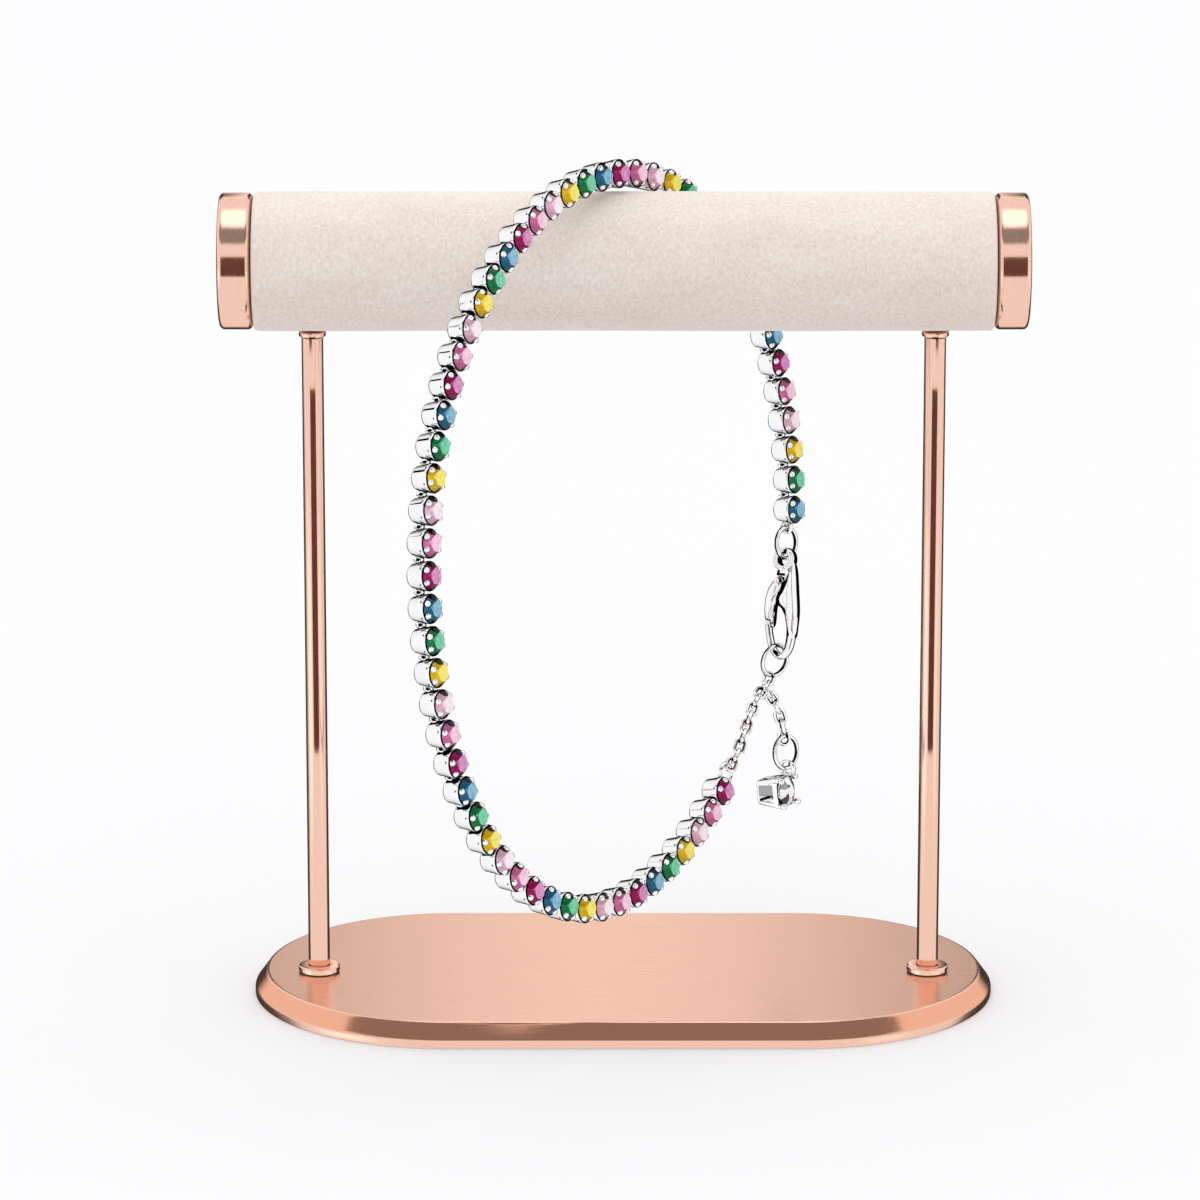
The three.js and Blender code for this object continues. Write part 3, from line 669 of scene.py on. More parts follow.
class StandCaps(bpy.types.Operator):
    """Model the turned metal caps on the two ends of the bar"""
    bl_idname = "bracelet.stand_caps"
    bl_label = "End caps"

    def execute(self, context):
        sizes = context.scene.stand_sizes
        for side, sign in (("left", -1), ("right", 1)):
            low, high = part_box(f"end_cap_{side}")
            radius = (high.z - low.z) / 2
            depth = high.x - low.x
            rounding = sizes.cap_rounding
            face = radius - rounding * 2
            profile = [(0, 0)]
            profile += arc((radius - rounding, rounding), (rounding, rounding), -pi / 2, 0, 6)
            profile += arc((radius - rounding, depth - rounding), (rounding, rounding), 0, pi / 2, 8)
            edge = sizes.cap_step / 3
            profile += arc((face, depth - edge), (edge, edge), pi / 2, pi, 3)
            profile += [(face - sizes.cap_step, depth - sizes.cap_step), (0, depth - sizes.cap_step)]
            centre = (low + high) / 2
            inner_face = Vector((high.x if sign < 0 else low.x, centre.y, centre.z))
            place = Matrix.Translation(inner_face) @ Matrix.Rotation(sign * pi / 2, 4, "Y")
            cap = lathe(profile, steps=96)
            finish_piece("turned_cap_" + side, cap, polished_rose_plating(), "rose_metal",
                         [f"end_cap_{side}"], place)
        return {"FINISHED"}


class StandRoll(bpy.types.Operator):
    """Model the padded bar and its velvet"""
    bl_idname = "bracelet.stand_roll"
    bl_label = "Padded bar"

    def execute(self, context):
        sizes = context.scene.stand_sizes
        low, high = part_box("bar_roll")
        radius = (high.z - low.z) / 2
        half = (high.x - low.x) / 2
        turn = sizes.roll_rounding
        profile = [(0, -half)]
        profile += arc((radius - turn, turn - half), (turn, turn), -pi / 2, 0, 6)
        bands = 120
        profile += [(radius, (2 * i / bands - 1) * (half - turn)) for i in range(1, bands)]
        profile += arc((radius - turn, half - turn), (turn, turn), 0, pi / 2, 6)
        profile += [(0, half)]
        bm = lathe(profile, steps=128)
        short_wave = 5.2 * MM
        long_wave = 8.1 * MM
        for vert in bm.verts:
            around = atan2(vert.co.y, vert.co.x)
            swell = (sin(vert.co.z / short_wave + 1.3 * sin(around))
                     + sin(3 * around + vert.co.z / long_wave))
            out = Vector((vert.co.x, vert.co.y, 0))
            if out.length > radius / 2:
                vert.co -= out.normalized() * sizes.roll_unevenness * (1 - swell / 2) / 2
        place = Matrix.Translation(middle("bar_roll")) @ Matrix.Rotation(pi / 2, 4, "Y")
        roll = finish_piece("velvet_roll", bm, cream_velvet(), "cream_velvet", ["bar_roll"], place,
                            smooth_under=radians(60))
        return {"FINISHED"}


# ------------------------------------------------------------------ the loop of settings

# The loop lies in one plane: u across it, v up it, w along the stones' axes.
LOOP_CENTRE = Vector((-0.3, -8.92, 44.27)) * MM
# How the loop sags out of round: each wave goes this many times round it.
LOOP_WAVES = [
    {"times": 2, "size": 2.19 * MM, "turn": radians(58.1)},
    {"times": 3, "size": 0.34 * MM, "turn": radians(-1)},
    {"times": 4, "size": 0.285 * MM, "turn": radians(-28.1)},
]


def loop_matrix():
    """From the loop's own directions to the frame."""
    sizes = bpy.context.scene.bracelet_sizes
    return (Matrix.Translation(LOOP_CENTRE) @ Matrix.Rotation(sizes.loop_turn, 4, "Z")
            @ Matrix.Rotation(pi / 2 - sizes.loop_lean, 4, "X"))


class LoopLine:
    """The line that the settings are threaded on, measured along its length."""
    SAMPLES = 3600

    def __init__(self, radius):
        self.points = []
        for i in range(self.SAMPLES + 1):
            turn = 2 * pi * i / self.SAMPLES
            reach = radius + sum(w["size"] * cos(w["times"] * (turn - w["turn"])) for w in LOOP_WAVES)
            self.points.append(Vector((reach * cos(turn), reach * sin(turn), 0)))
        self.along = [0.0]
        for a, b in zip(self.points, self.points[1:]):
            self.along.append(self.along[-1] + (b - a).length)

    def place(self, distance):
        """The point at a distance along the line, and the way the line runs there."""
        distance %= self.along[-1]
        i = min(bisect_right(self.along, distance), self.SAMPLES) - 1
        a, b = self.points[i], self.points[i + 1]
        part = (distance - self.along[i]) / (self.along[i + 1] - self.along[i])
        return a.lerp(b, part), (b - a).normalized()


def setting_places():
    sizes = bpy.context.scene.bracelet_sizes
    line = LoopLine(sizes.loop_radius)
    return [line.place(sizes.first_at + i * sizes.pitch) for i in range(sizes.setting_count)]


def turned_to(place, heading, height):
    """A matrix that puts a piece at a place over the loop's plane, its X along the heading."""
    turn = Matrix.Rotation(atan2(heading.y, heading.x), 4, "Z")
    return Matrix.Translation((place.x, place.y, height)) @ turn


PRONG_LEAN = radians(-24)


def prong_template(sizes):
    """A short stem under a round bead, with the bead's middle at the origin."""
    radius = sizes.prong_radius
    profile = [(0, -2 * radius), (radius * 0.5, -2 * radius)]
    profile += arc((0, 0), (radius, radius), -pi / 3, pi / 2, 5)
    return lathe(profile, steps=10)


def cup_template(sizes):
    """One cup with four prongs, painted dark as painted shade on the sides that face its neighbours and
    round the stone.
    """
    foot = -sizes.cup_depth
    radius = sizes.cup_radius
    waist = sizes.cup_waist
    inner = radius - sizes.rim_width
    edge = 0.05 * MM
    rounding = sizes.cup_rounding
    profile = [(0, foot)]
    profile += arc((waist - rounding, foot + rounding), (rounding, rounding), -pi / 2, 0, 5)
    profile += arc((radius - sizes.cup_turn, -sizes.cup_flare), (sizes.cup_turn, sizes.cup_turn),
                   atan2(waist - radius, sizes.cup_depth - rounding - sizes.cup_flare), 0, 4)
    profile += arc((radius - edge, -edge), (edge, edge), 0, pi / 2, 2)
    seat = -0.25 * MM
    well = 0.35 * MM
    profile += [(inner, 0), (inner, seat), (well, foot * 0.72), (0, foot * 0.72)]
    bm = lathe(profile, steps=36)

    # painted shade: inner faces, the rim and the sides beside the links are painted dark
    def painted_shade_at(face):
        centre = face.calc_center_median()
        faces_in = centre.x * face.normal.x + centre.y * face.normal.y < -0.1 * MM
        on_rim = centre.z > -0.03 * MM
        beside_link = abs(centre.y) < abs(centre.x) * 0.3 and foot * 0.85 < centre.z < -0.3 * MM
        return faces_in or on_rim or beside_link

    mark_faces(bm, PAINTED_SHADE, painted_shade_at)
    prong = prong_template(sizes)
    stem_top = -0.55 * sizes.prong_radius
    # painted shade on the prongs' stems under their beads
    mark_faces(prong, PAINTED_SHADE, lambda face: face.calc_center_median().z < stem_top)
    out = Matrix.Translation((sizes.prong_reach, 0, sizes.prong_height))
    for turn in (sizes.prong_turn, pi - sizes.prong_turn, pi + sizes.prong_turn, -sizes.prong_turn):
        stamp(bm, prong, Matrix.Rotation(turn, 4, "Z") @ out @ Matrix.Rotation(PRONG_LEAN, 4, "Y"))
    prong.free()
    return bm


def link_template(sizes):
    """The narrow ring that stands between two cups, round a bar that joins them along X and is painted dark
    all over as painted shade in the gap.
    """
    bm = wire_ring(sizes.link_radius, sizes.link_wire, steps=18, sides=8)
    bmesh.ops.scale(bm, vec=(sizes.link_narrowing, 1, 1), verts=bm.verts)
    bmesh.ops.rotate(bm, cent=(0, 0, 0), matrix=Matrix.Rotation(pi / 2, 3, "X"), verts=bm.verts)
    bar = disc(sizes.link_wire * 0.7, sizes.pitch - 1.7 * sizes.cup_waist, segments=10)
    # painted shade: the whole bar is painted dark
    mark_faces(bar, PAINTED_SHADE, lambda face: True)
    join(bm, bar, Matrix.Rotation(pi / 2, 4, "Y"))
    return bm


# The painted light and shade of each facet, in turn round the stone: 0 is black, 0.5 the deep colour
# and 1 the pale one.
COLOURED_FACET_PAINTED_LIGHT = {
    "table": 1.0,
    "stars": (0.35, 0.7, 0.5, 0.45, 0.8, 1.0, 1.0, 0.9),
    "kites": (0.0, 0.35, 0.5, 0.45, 0.0, 0.5, 0.95, 0.7),
    "girdle": (0.0, 0.0, 0.0, 0.25, 0.1, 0.0, 0.0, 0.0, 0.0, 0.0, 0.0, 0.6, 0.3, 0.0, 0.0, 0.0),
}
CLEAR_FACET_PAINTED_LIGHT = {
    "table": 1.0,
    "stars": (0.0, 1.0, 0.0, 1.0, 0.0, 1.0, 0.1, 1.0),
    "kites": (1.0, 0.0, 1.0, 0.2, 1.0, 0.0, 1.0, 0.0),
    "girdle": (0.02, 1.0, 0.02, 0.9, 0.02, 0.02, 1.0, 0.02, 0.9, 0.02, 1.0, 0.02, 0.02, 1.0, 0.02, 0.9),
}


def brilliant(radius, table, crown, pavilion, tones):
    """A round brilliant: eight-sided table, kites and stars above the girdle, mains below it."""
    bm = bmesh.new()
    girdle = 0.03 * MM
    star = table + (radius - table) * 0.34
    for k in range(8):
        turn = k * pi / 4
        between = turn + pi / 8
        bm.verts.new((table * cos(turn), table * sin(turn), crown))
        bm.verts.new((star * cos(between), star * sin(between), crown * 0.7))
        for edge_turn in (turn, between):
            for level in (girdle, -girdle):
                bm.verts.new((radius * cos(edge_turn), radius * sin(edge_turn), level))
        lower = radius * 0.45
        bm.verts.new((lower * cos(between), lower * sin(between), -pavilion * 0.62))
    bm.verts.new((0, 0, -pavilion))
    bmesh.ops.convex_hull(bm, input=bm.verts[:])
    bmesh.ops.dissolve_limit(bm, angle_limit=radians(1), verts=bm.verts[:], edges=bm.edges[:])
    bmesh.ops.recalc_face_normals(bm, faces=bm.faces)

    def tone(face):
        centre = face.calc_center_median()
        reach = Vector(centre[:2]).length
        eighth = atan2(centre.y, centre.x) % (2 * pi) / (pi / 4)
        if face.normal.z > 0.99:
            return tones["table"]
        if centre.z < girdle * 2:
            return 0.02
        if reach > (star + radius * 2) / 3 * 0.99:
            return tones["girdle"][int(eighth * 2) % 16]
        if reach < (table * 2 + star) / 3:
            return tones["stars"][int(eighth) % 8]
        return tones["kites"][int(eighth + 0.5) % 8]

    # painted light and shade: each facet gets its own value from the tables above
    mark_faces(bm, PAINTED_FACET_LIGHT, tone)
    return bm


def finish_silver(name, bm, node, place=None, **settings):
    """Finish a silver piece that is placed along the loop's own directions."""
    place = loop_matrix() if place is None else loop_matrix() @ place
    finish_piece(name, bm, polished_silver(), "silver", [node], place, **settings)


class BraceletCups(bpy.types.Operator):
    """Model the runs of cup settings, with the small rings that join them"""
    bl_idname = "bracelet.cups"
    bl_label = "Cup settings"

    def execute(self, context):
        sizes = context.scene.bracelet_sizes
        places = setting_places()
        cup = cup_template(sizes)
        link = link_template(sizes)
        for run in range(sizes.setting_count // sizes.run_length):
            first = run * sizes.run_length
            bm = bmesh.new()
            for i in range(first, first + sizes.run_length):
                at, heading = places[i]
                stamp(bm, cup, turned_to(at, heading, sizes.rim_w))
                if i + 1 < len(places):
                    onward = places[i + 1][0]
                    stamp(bm, link, turned_to((at + onward) / 2, onward - at, sizes.link_w))
            if first == 0:
                self.first_eye(bm, places[0][0], context.scene.clasp_sizes)
            if first + sizes.run_length == len(places):
                self.last_eye(bm, places[-1][0], context.scene.clasp_sizes)
            number = f"{run + 1:02d}"
            finish_silver("cups_run_" + number, bm, "setting_run_" + number)
        cup.free()
        link.free()
        return {"FINISHED"}

    def first_eye(self, bm, at, clasp):
        """The eye that the jump ring hangs in, on edge under the first cup."""
        hang = clasp_hang(clasp)
        place = turned_to(at + hang * clasp.first_eye_reach, hang, clasp.eye_w)
        eye = wire_ring(clasp.first_eye_radius, clasp.wire, steps=32, sides=10)
        join(bm, eye, place @ Matrix.Rotation(pi / 2, 4, "X"))

    def last_eye(self, bm, at, clasp):
        """The eye that the extender's first link runs through, beside the last cup."""
        reach = Vector((cos(LAST_EYE_TURN), sin(LAST_EYE_TURN), 0)) * clasp.last_eye_reach
        eye = wire_ring(clasp.last_eye_radius, clasp.wire, steps=40, sides=10)
        join(bm, eye, turned_to(at + reach, reach, clasp.eye_w))


# The stones' colours in their order along the loop.
STONE_COLOURS = ("blue", "green", "yellow", "light_pink", "pink", "magenta")


class BraceletStones(bpy.types.Operator):
    """Cut the coloured stones, one joined piece for each colour"""
    bl_idname = "bracelet.stones"
    bl_label = "Coloured stones"

    def execute(self, context):
        sizes = context.scene.bracelet_sizes
        places = setting_places()
        stone = brilliant(sizes.stone_radius, sizes.stone_table, sizes.stone_crown, sizes.stone_pavilion,
                          COLOURED_FACET_PAINTED_LIGHT)
        girdle_w = sizes.rim_w + 0.05 * MM
        upward = Vector((0, 1, 0))
        for k, name in enumerate(STONE_COLOURS):
            bm = bmesh.new()
            for at, _ in places[k::len(STONE_COLOURS)]:
                stamp(bm, stone, turned_to(at, upward, girdle_w))
            finish_piece(name + "_stones", bm, cut_stone(name), name + "_stone", transform=loop_matrix(),
                         smooth_under=None)
        stone.free()
        return {"FINISHED"}


# ------------------------------------------------------------------ the clasp

LAST_EYE_TURN = radians(33)
JUMP_RING_TURN = radians(-6)
HOOK_RING_TURN = radians(-18)
HOOK_RING_TILT = radians(12)
HOOK_RING_SWING = radians(25)
HOOK_RING_AT = Vector((-0.15, -7.9, 0)) * MM
END_RING_TURN = radians(-10.75)
END_RING_CENTRE = Vector((26.15, -25.35, -2.0)) * MM
PIVOT = Vector((-0.45, -1.95, 0)) * MM

# Corners of the slot that the lever swings in.
SLOT_LOW = (-3.35 * MM, -4.85 * MM)
SLOT_HIGH = (0.25 * MM, -1.48 * MM)

# Sections along the hook, from under the eyelet round the back to its tip: x, y and width in
# millimetres.
CLAW_SECTIONS = [
    (0.0, -0.7, 1.25), (0.0, -1.75, 1.75), (0.42, -3.2, 1.8), (0.8, -4.4, 1.5), (1.0, -5.6, 1.2),
    (0.98, -7.0, 0.92), (0.68, -8.3, 0.76), (-0.06, -8.88, 0.64), (-0.86, -8.3, 0.6),
    (-1.3, -7.1, 0.56), (-1.5, -5.93, 0.52),
]

# Outline of each cheek of the claw, a leaf with its tip beside the eyelet, in millimetres.
CHEEK_OUTLINE = [
    (1.02, -0.32), (1.2, -0.9), (1.32, -1.8), (1.42, -2.9), (1.54, -4.0), (1.6, -5.1), (1.52, -6.2),
    (1.4, -7.2), (1.05, -7.3), (0.72, -6.3), (0.5, -5.4), (0.1, -4.75), (-0.42, -4.3), (-0.62, -3.8),
    (-0.5, -3.25), (-0.12, -2.7), (0.22, -2.1), (0.52, -1.45), (0.8, -0.8),
]

# Outline of the lever, measured from its pivot, in millimetres.
LEVER_OUTLINE = [
    (0.45, -0.1), (0.2, -0.9), (-0.15, -1.9), (-0.34, -2.9), (-0.42, -4.2), (-0.66, -4.2), (-0.76, -3.95),
    (-1.3, -3.8), (-1.5, -2.8), (-1.45, -1.7), (-1.12, -0.6), (-0.45, 0.25), (0.1, 0.42), (0.42, 0.2),
]


def clasp_hang(sizes):
    """The way the clasp hangs from the first setting, in the loop's directions."""
    return Vector((-sin(sizes.lean), -cos(sizes.lean), 0))


def jump_ring_centre(sizes):
    at = setting_places()[0][0]
    centre = at + clasp_hang(sizes) * (sizes.first_eye_reach + sizes.jump_ring)
    centre.z = sizes.eye_w
    return centre


def clasp_matrix(sizes):
    """From the clasp's own directions to the loop's."""
    place = jump_ring_centre(sizes) + clasp_hang(sizes) * (sizes.jump_ring + sizes.eyelet_drop)
    return (Matrix.Translation(place) @ Matrix.Rotation(-sizes.lean, 4, "Z")
            @ Matrix.Rotation(-pi / 2, 4, "Y"))


def ring_rotation(turn, tilt):
    return Matrix.Rotation(turn, 4, "Y") @ Matrix.Rotation(tilt, 4, "X")


def hook_ring_centre(sizes):
    spoke = Vector((sin(HOOK_RING_SWING), cos(HOOK_RING_SWING), 0)) * sizes.hook_ring
    return clasp_matrix(sizes) @ HOOK_RING_AT - ring_rotation(HOOK_RING_TURN, HOOK_RING_TILT) @ spoke


def box_mesh(low, high):
    low, high = Vector(low), Vector(high)
    bm = bmesh.new()
    place = Matrix.Translation((low + high) / 2) @ Matrix.Diagonal((*(high - low), 1))
    bmesh.ops.create_cube(bm, size=1, matrix=place)
    return bm


def disc(radius, thickness, segments=48):
    bm = bmesh.new()
    bmesh.ops.create_cone(bm, cap_ends=True, segments=segments, radius1=radius, radius2=radius,
                          depth=thickness)
    return bm


def band(sections, thickness):
    """A bar of oval section that follows a line of sections in the XY plane."""
    line = smooth_line([Vector(section) * MM for section in sections], 5)
    bm = bmesh.new()
    sides = 20
    rings = []
    for place, heading in line:
        across = Vector((-heading.y, heading.x, 0)).normalized()
        ring = []
        for k in range(sides):
            turn = 2 * pi * k / sides
            spot = Vector((place.x, place.y, 0)) + across * cos(turn) * place.z / 2
            ring.append(bm.verts.new((spot.x, spot.y, sin(turn) * thickness / 2)))
        rings.append(ring)
    loops = [[bm.edges.new((ring[k], ring[(k + 1) % sides])) for k in range(sides)] for ring in rings]
    for a, b in zip(loops, loops[1:]):
        bmesh.ops.bridge_loops(bm, edges=a + b)
    for ring in (rings[0], rings[-1]):
        bm.faces.new(ring)
    bmesh.ops.recalc_face_normals(bm, faces=bm.faces)
    return bm


class ClaspRings(bpy.types.Operator):
    """Bend the jump ring, the hook ring and the end ring"""
    bl_idname = "bracelet.clasp_rings"
    bl_label = "Rings"

    def execute(self, context):
        sizes = context.scene.clasp_sizes
        rings = [
            ("jump_ring", sizes.jump_ring, jump_ring_centre(sizes), JUMP_RING_TURN, 0),
            ("hook_ring", sizes.hook_ring, hook_ring_centre(sizes), HOOK_RING_TURN, HOOK_RING_TILT),
            ("end_ring", sizes.end_ring, END_RING_CENTRE, END_RING_TURN, 0),
        ]
        for node, radius, centre, turn, tilt in rings:
            ring = wire_ring(radius, sizes.wire, steps=64, sides=14)
            # painted shade and dark reflections along the ring's inner and outer edges
            paint_shade_on_edges(ring, radius, sizes.wire)
            finish_silver("wire_" + node, ring, node, Matrix.Translation(centre) @ ring_rotation(turn, tilt))
        return {"FINISHED"}


class ClaspClaw(bpy.types.Operator):
    """Cast the body of the lobster clasp, with its eyelet, cheeks, hook and pin"""
    bl_idname = "bracelet.clasp_claw"
    bl_label = "Clasp body"

    def execute(self, context):
        sizes = context.scene.clasp_sizes
        core = sizes.core_thickness
        half = sizes.claw_thickness / 2
        eyelet = disc(sizes.eyelet_radius, core * 0.96)
        bevel_sharp(eyelet, offset=0.16 * MM, segments=3)
        leaf = pillow([(p.x * MM, p.y * MM) for p in closed_curve(CHEEK_OUTLINE)], half,
                      dome=0.66 * MM, narrowing=0.72)
        play = sizes.lever_thickness / 2 + sizes.lever_play
        slot = box_mesh((*SLOT_LOW, -play), (*SLOT_HIGH, play))
        hole = disc(sizes.eyelet_hole, core * 3)
        shape = band(CLAW_SECTIONS, core)
        for part in (eyelet, leaf):
            join(shape, part)
        shape = shape_with_cuts(shape, [hole, slot], voxel=0.045 * MM, smoothing=6)
        # painted shade and dark reflections in the slot, the mouth and along the front edges
        mark_faces(shape, PAINTED_SHADE, self.painted_shade_at)
        pin = disc(sizes.pin_radius, sizes.claw_thickness * 0.86, segments=24)
        bevel_sharp(pin, offset=0.05 * MM, segments=2)
        join(shape, pin, Matrix.Translation(PIVOT))
        finish_silver("cast_claw", shape, "clasp_claw", clasp_matrix(sizes), smooth_under=radians(70))
        return {"FINISHED"}

    @staticmethod
    def painted_shade_at(face):
        """Where the claw is painted dark as painted shade and dark reflections: in the slot and the mouth,
        and along both edges of the front; places in millimetres.
        """
        at = face.calc_center_median() / MM
        facing = face.normal
        in_slot = abs(at.z) < 0.56 and at.x < 0.3 and -4.95 < at.y < -1.3
        in_mouth = facing.x < -0.12 and facing.z > 0.2 and -8.3 < at.y < -4.6 and at.x > -0.3
        on_tip = at.y < -7.5 or at.x < -0.8
        left_edge = facing.x < (-0.5 if on_tip else -0.2) and facing.z > 0.28
        right_edge = facing.x > 0.6 and -0.25 < facing.z < 0.04
        return in_slot or in_mouth or left_edge or right_edge


class ClaspLever(bpy.types.Operator):
    """Shape the sprung lever that closes the claw"""
    bl_idname = "bracelet.clasp_lever"
    bl_label = "Clasp lever"

    def execute(self, context):
        sizes = context.scene.clasp_sizes
        points = [(p.x * MM + PIVOT.x, p.y * MM + PIVOT.y) for p in closed_curve(LEVER_OUTLINE, 3)]
        lever = pillow(points, sizes.lever_thickness / 2, dome=0.3 * MM, narrowing=0.6)
        # painted dark reflections along the lever's side edges
        mark_faces(lever, PAINTED_SHADE, lambda face: abs(face.normal.x) > 0.6 and -0.3 < face.normal.z < 0.15)
        finish_silver("sprung_lever", lever, "clasp_lever", clasp_matrix(sizes), smooth_under=radians(50),
                      body=LEVER_BODY)
        return {"FINISHED"}


# ------------------------------------------------------------------ chains

# Middles of the first and last links and the bends between, in millimetres along the loop's own
# directions.
EXTENDER_ROUTE = [
    (24.55, -18.05, -2.0), (23.55, -18.75, -1.85), (22.4, -19.05, -1.75), (20.8, -19.9, -1.55),
    (19.3, -21.0, -1.35), (17.8, -22.25, -1.15), (16.5, -23.4, -1.05), (15.5, -24.05, -1.05),
]
TAIL_ROUTE = [
    (23.95, -19.1, -1.95), (24.6, -19.8, -2.0), (25.3, -20.8, -2.0), (25.8, -21.9, -2.0),
    (26.1, -23.3, -2.0), (26.12, -23.95, -2.0),
]


def oval_link(sizes):
    """One wire link, drawn out along X, with painted shade on its inner side only."""
    bend = sizes.link_width / 2 - sizes.wire
    stretch = (sizes.link_length - sizes.link_width) / 2
    steps = 22
    bm = wire_ring(bend, sizes.wire, steps, sides=10)
    # painted shade on the inside of the link
    paint_shade_on_edges(bm, bend, sizes.wire, outer=2)
    bmesh.ops.rotate(bm, cent=(0, 0, 0), matrix=Matrix.Rotation(pi / steps, 3, "Z"), verts=bm.verts)
    for vert in bm.verts:
        vert.co.x += stretch if vert.co.x > 0 else -stretch
    return bm


def link_chain(route, sizes, first_face):
    """Links along a smooth route, each turned a quarter from the last."""
    line = smooth_line([Vector(point) * MM for point in route], 12)
    along = [0.0]
    for (a, _), (b, _) in zip(line, line[1:]):
        along.append(along[-1] + (b - a).length)
    count = max(2, round(along[-1] / sizes.pitch) + 1)
    link = oval_link(sizes)
    bm = bmesh.new()
    for i in range(count):
        distance = along[-1] * i / (count - 1)
        j = min(bisect_right(along, distance), len(line) - 1)
        place, heading = line[j]
        side = heading.cross(Vector((0, 0, 1))).normalized()
        face = Matrix((heading, side, heading.cross(side))).transposed().to_4x4()
        quarter = Matrix.Rotation((i + first_face) % 2 * pi / 2 + radians(46), 4, "X")
        stamp(bm, link, Matrix.Translation(place) @ face @ quarter)
    link.free()
    return bm


class BraceletChains(bpy.types.Operator):
    """Link the extender chain and its free tail"""
    bl_idname = "bracelet.chains"
    bl_label = "Chains"

    def execute(self, context):
        sizes = context.scene.chain_sizes
        for part, route, first_face in (("extender", EXTENDER_ROUTE, 0), ("tail", TAIL_ROUTE, 1)):
            finish_silver(part + "_links", link_chain(route, sizes, first_face), part + "_chain")
        return {"FINISHED"}


# ------------------------------------------------------------------ the drop

DROP_CENTRE = Vector((25.7, -28.95, -2.2)) * MM
# Half a section through the bail: radius and height in millimetres.
BAIL_PROFILE = [(0.72, -0.2), (0.78, 0), (0.72, 0.2), (0.52, 0.2), (0.5, 0), (0.52, -0.2)]


class DropSetting(bpy.types.Operator):
    """Model the square basket of the drop, with its windows, prongs and bail"""
    bl_idname = "bracelet.drop_setting"
    bl_label = "Drop setting"

    def execute(self, context):
        sizes = context.scene.drop_sizes
        bm = self.basket(sizes)
        prong = bmesh.new()
        bmesh.ops.create_icosphere(prong, subdivisions=3, radius=sizes.prong_radius)
        stem = disc(sizes.stem_radius, 0.75 * MM, segments=20)
        for x in (-sizes.prong_at, sizes.prong_at):
            for y in (-sizes.prong_at, sizes.prong_at):
                stamp(bm, prong, Matrix.Translation((x, y, sizes.prong_height)))
                stamp(bm, stem, Matrix.Translation((x, y, 0.08 * MM)))
        prong.free()
        stem.free()
        bail = lathe([(radius * MM, height * MM) for radius, height in BAIL_PROFILE], steps=40, closed=True)
        bevel_sharp(bail, offset=0.04 * MM, segments=2, over=radians(20))
        bail_centre = END_RING_CENTRE - DROP_CENTRE - Vector((0, context.scene.clasp_sizes.end_ring, 0))
        join(bm, bail, Matrix.Translation(bail_centre) @ Matrix.Rotation(pi / 2 + END_RING_TURN, 4, "Y")
             @ Matrix.Diagonal((1.3, 1, 1, 1)))
        finish_silver("drop_basket", bm, "drop_setting", Matrix.Translation(DROP_CENTRE),
                      smooth_under=radians(40))
        return {"FINISHED"}

    def basket(self, sizes):
        """A hollow square cup, narrower at its foot, with a window in each side."""
        half = sizes.side / 2
        block = box_mesh((-half, -half, -sizes.depth), (half, half, 0))
        upright = [edge for edge in block.edges if abs(edge.verts[0].co.z - edge.verts[1].co.z) > 0.1 * MM]
        bmesh.ops.bevel(block, geom=upright, offset=sizes.corner, segments=6, profile=0.5, affect="EDGES",
                        material=-1)
        bevel_sharp(block, offset=0.07 * MM, segments=2, over=radians(60))
        window = sizes.window / 2
        low, high = sizes.window_foot, sizes.window_top
        across = box_mesh((-half * 2, -window, low), (half * 2, window, high))
        along = box_mesh((-window, -half * 2, low), (window, half * 2, high))
        wall = half - sizes.wall
        inside = box_mesh((-wall, -wall, sizes.foot_thickness - sizes.depth), (wall, wall, -0.4 * MM))
        mouth = bmesh.new()
        bmesh.ops.create_cone(mouth, cap_ends=True, segments=48, radius1=0.1 * MM,
                              radius2=sizes.stone_radius + 0.08 * MM, depth=1.1 * MM,
                              matrix=Matrix.Translation((0, 0, sizes.stone_lift - 0.6 * MM)))
        bm = shape_with_cuts(block, [across, along, inside, mouth])
        sliver = 0.05 * MM

        # painted shade on the cut walls of the windows
        def painted_shade_at(face):
            centre = face.calc_center_median()
            side = max(abs(centre.x), abs(centre.y))
            in_wall = wall * 1.02 < side < half * 0.99 and low - sliver < centre.z < high + sliver
            on_corner = abs(face.normal.x * face.normal.y) > 0.01
            return in_wall and not on_corner and abs(face.normal.z) + abs(face.normal.x) > 0.9

        mark_faces(bm, PAINTED_SHADE, painted_shade_at)
        for vert in bm.verts:
            share = 1 - sizes.taper * max(-vert.co.z, 0) / sizes.depth
            vert.co.x *= share
            vert.co.y *= share
        return bm


class DropStone(bpy.types.Operator):
    """Cut the clear stone of the drop"""
    bl_idname = "bracelet.drop_stone"
    bl_label = "Drop stone"

    def execute(self, context):
        sizes = context.scene.drop_sizes
        bm = brilliant(sizes.stone_radius, sizes.stone_table, sizes.stone_crown, sizes.stone_pavilion,
                       CLEAR_FACET_PAINTED_LIGHT)
        place = loop_matrix() @ Matrix.Translation(DROP_CENTRE + Vector((0, 0, sizes.stone_lift)))
        crystal = cut_stone("clear", ior=2.15, clearness=0.02, gloss=0.2)
        finish_piece("clear_brilliant", bm, crystal, "clear_stone", ["drop_stone"], place, smooth_under=None)
        return {"FINISHED"}


# ------------------------------------------------------------------ the stage

CAMERA_PITCH = radians(14)
CAMERA_TARGET = Vector((-2.1, -1.62, 36.74)) * MM
CAMERA_DISTANCE = 560.9 * MM
CAMERA_VIEW = 2 * atan(2 / 21)  # the lens sees 2 m to each side at a distance of 21 m
FLOOR_HALF = 4.0

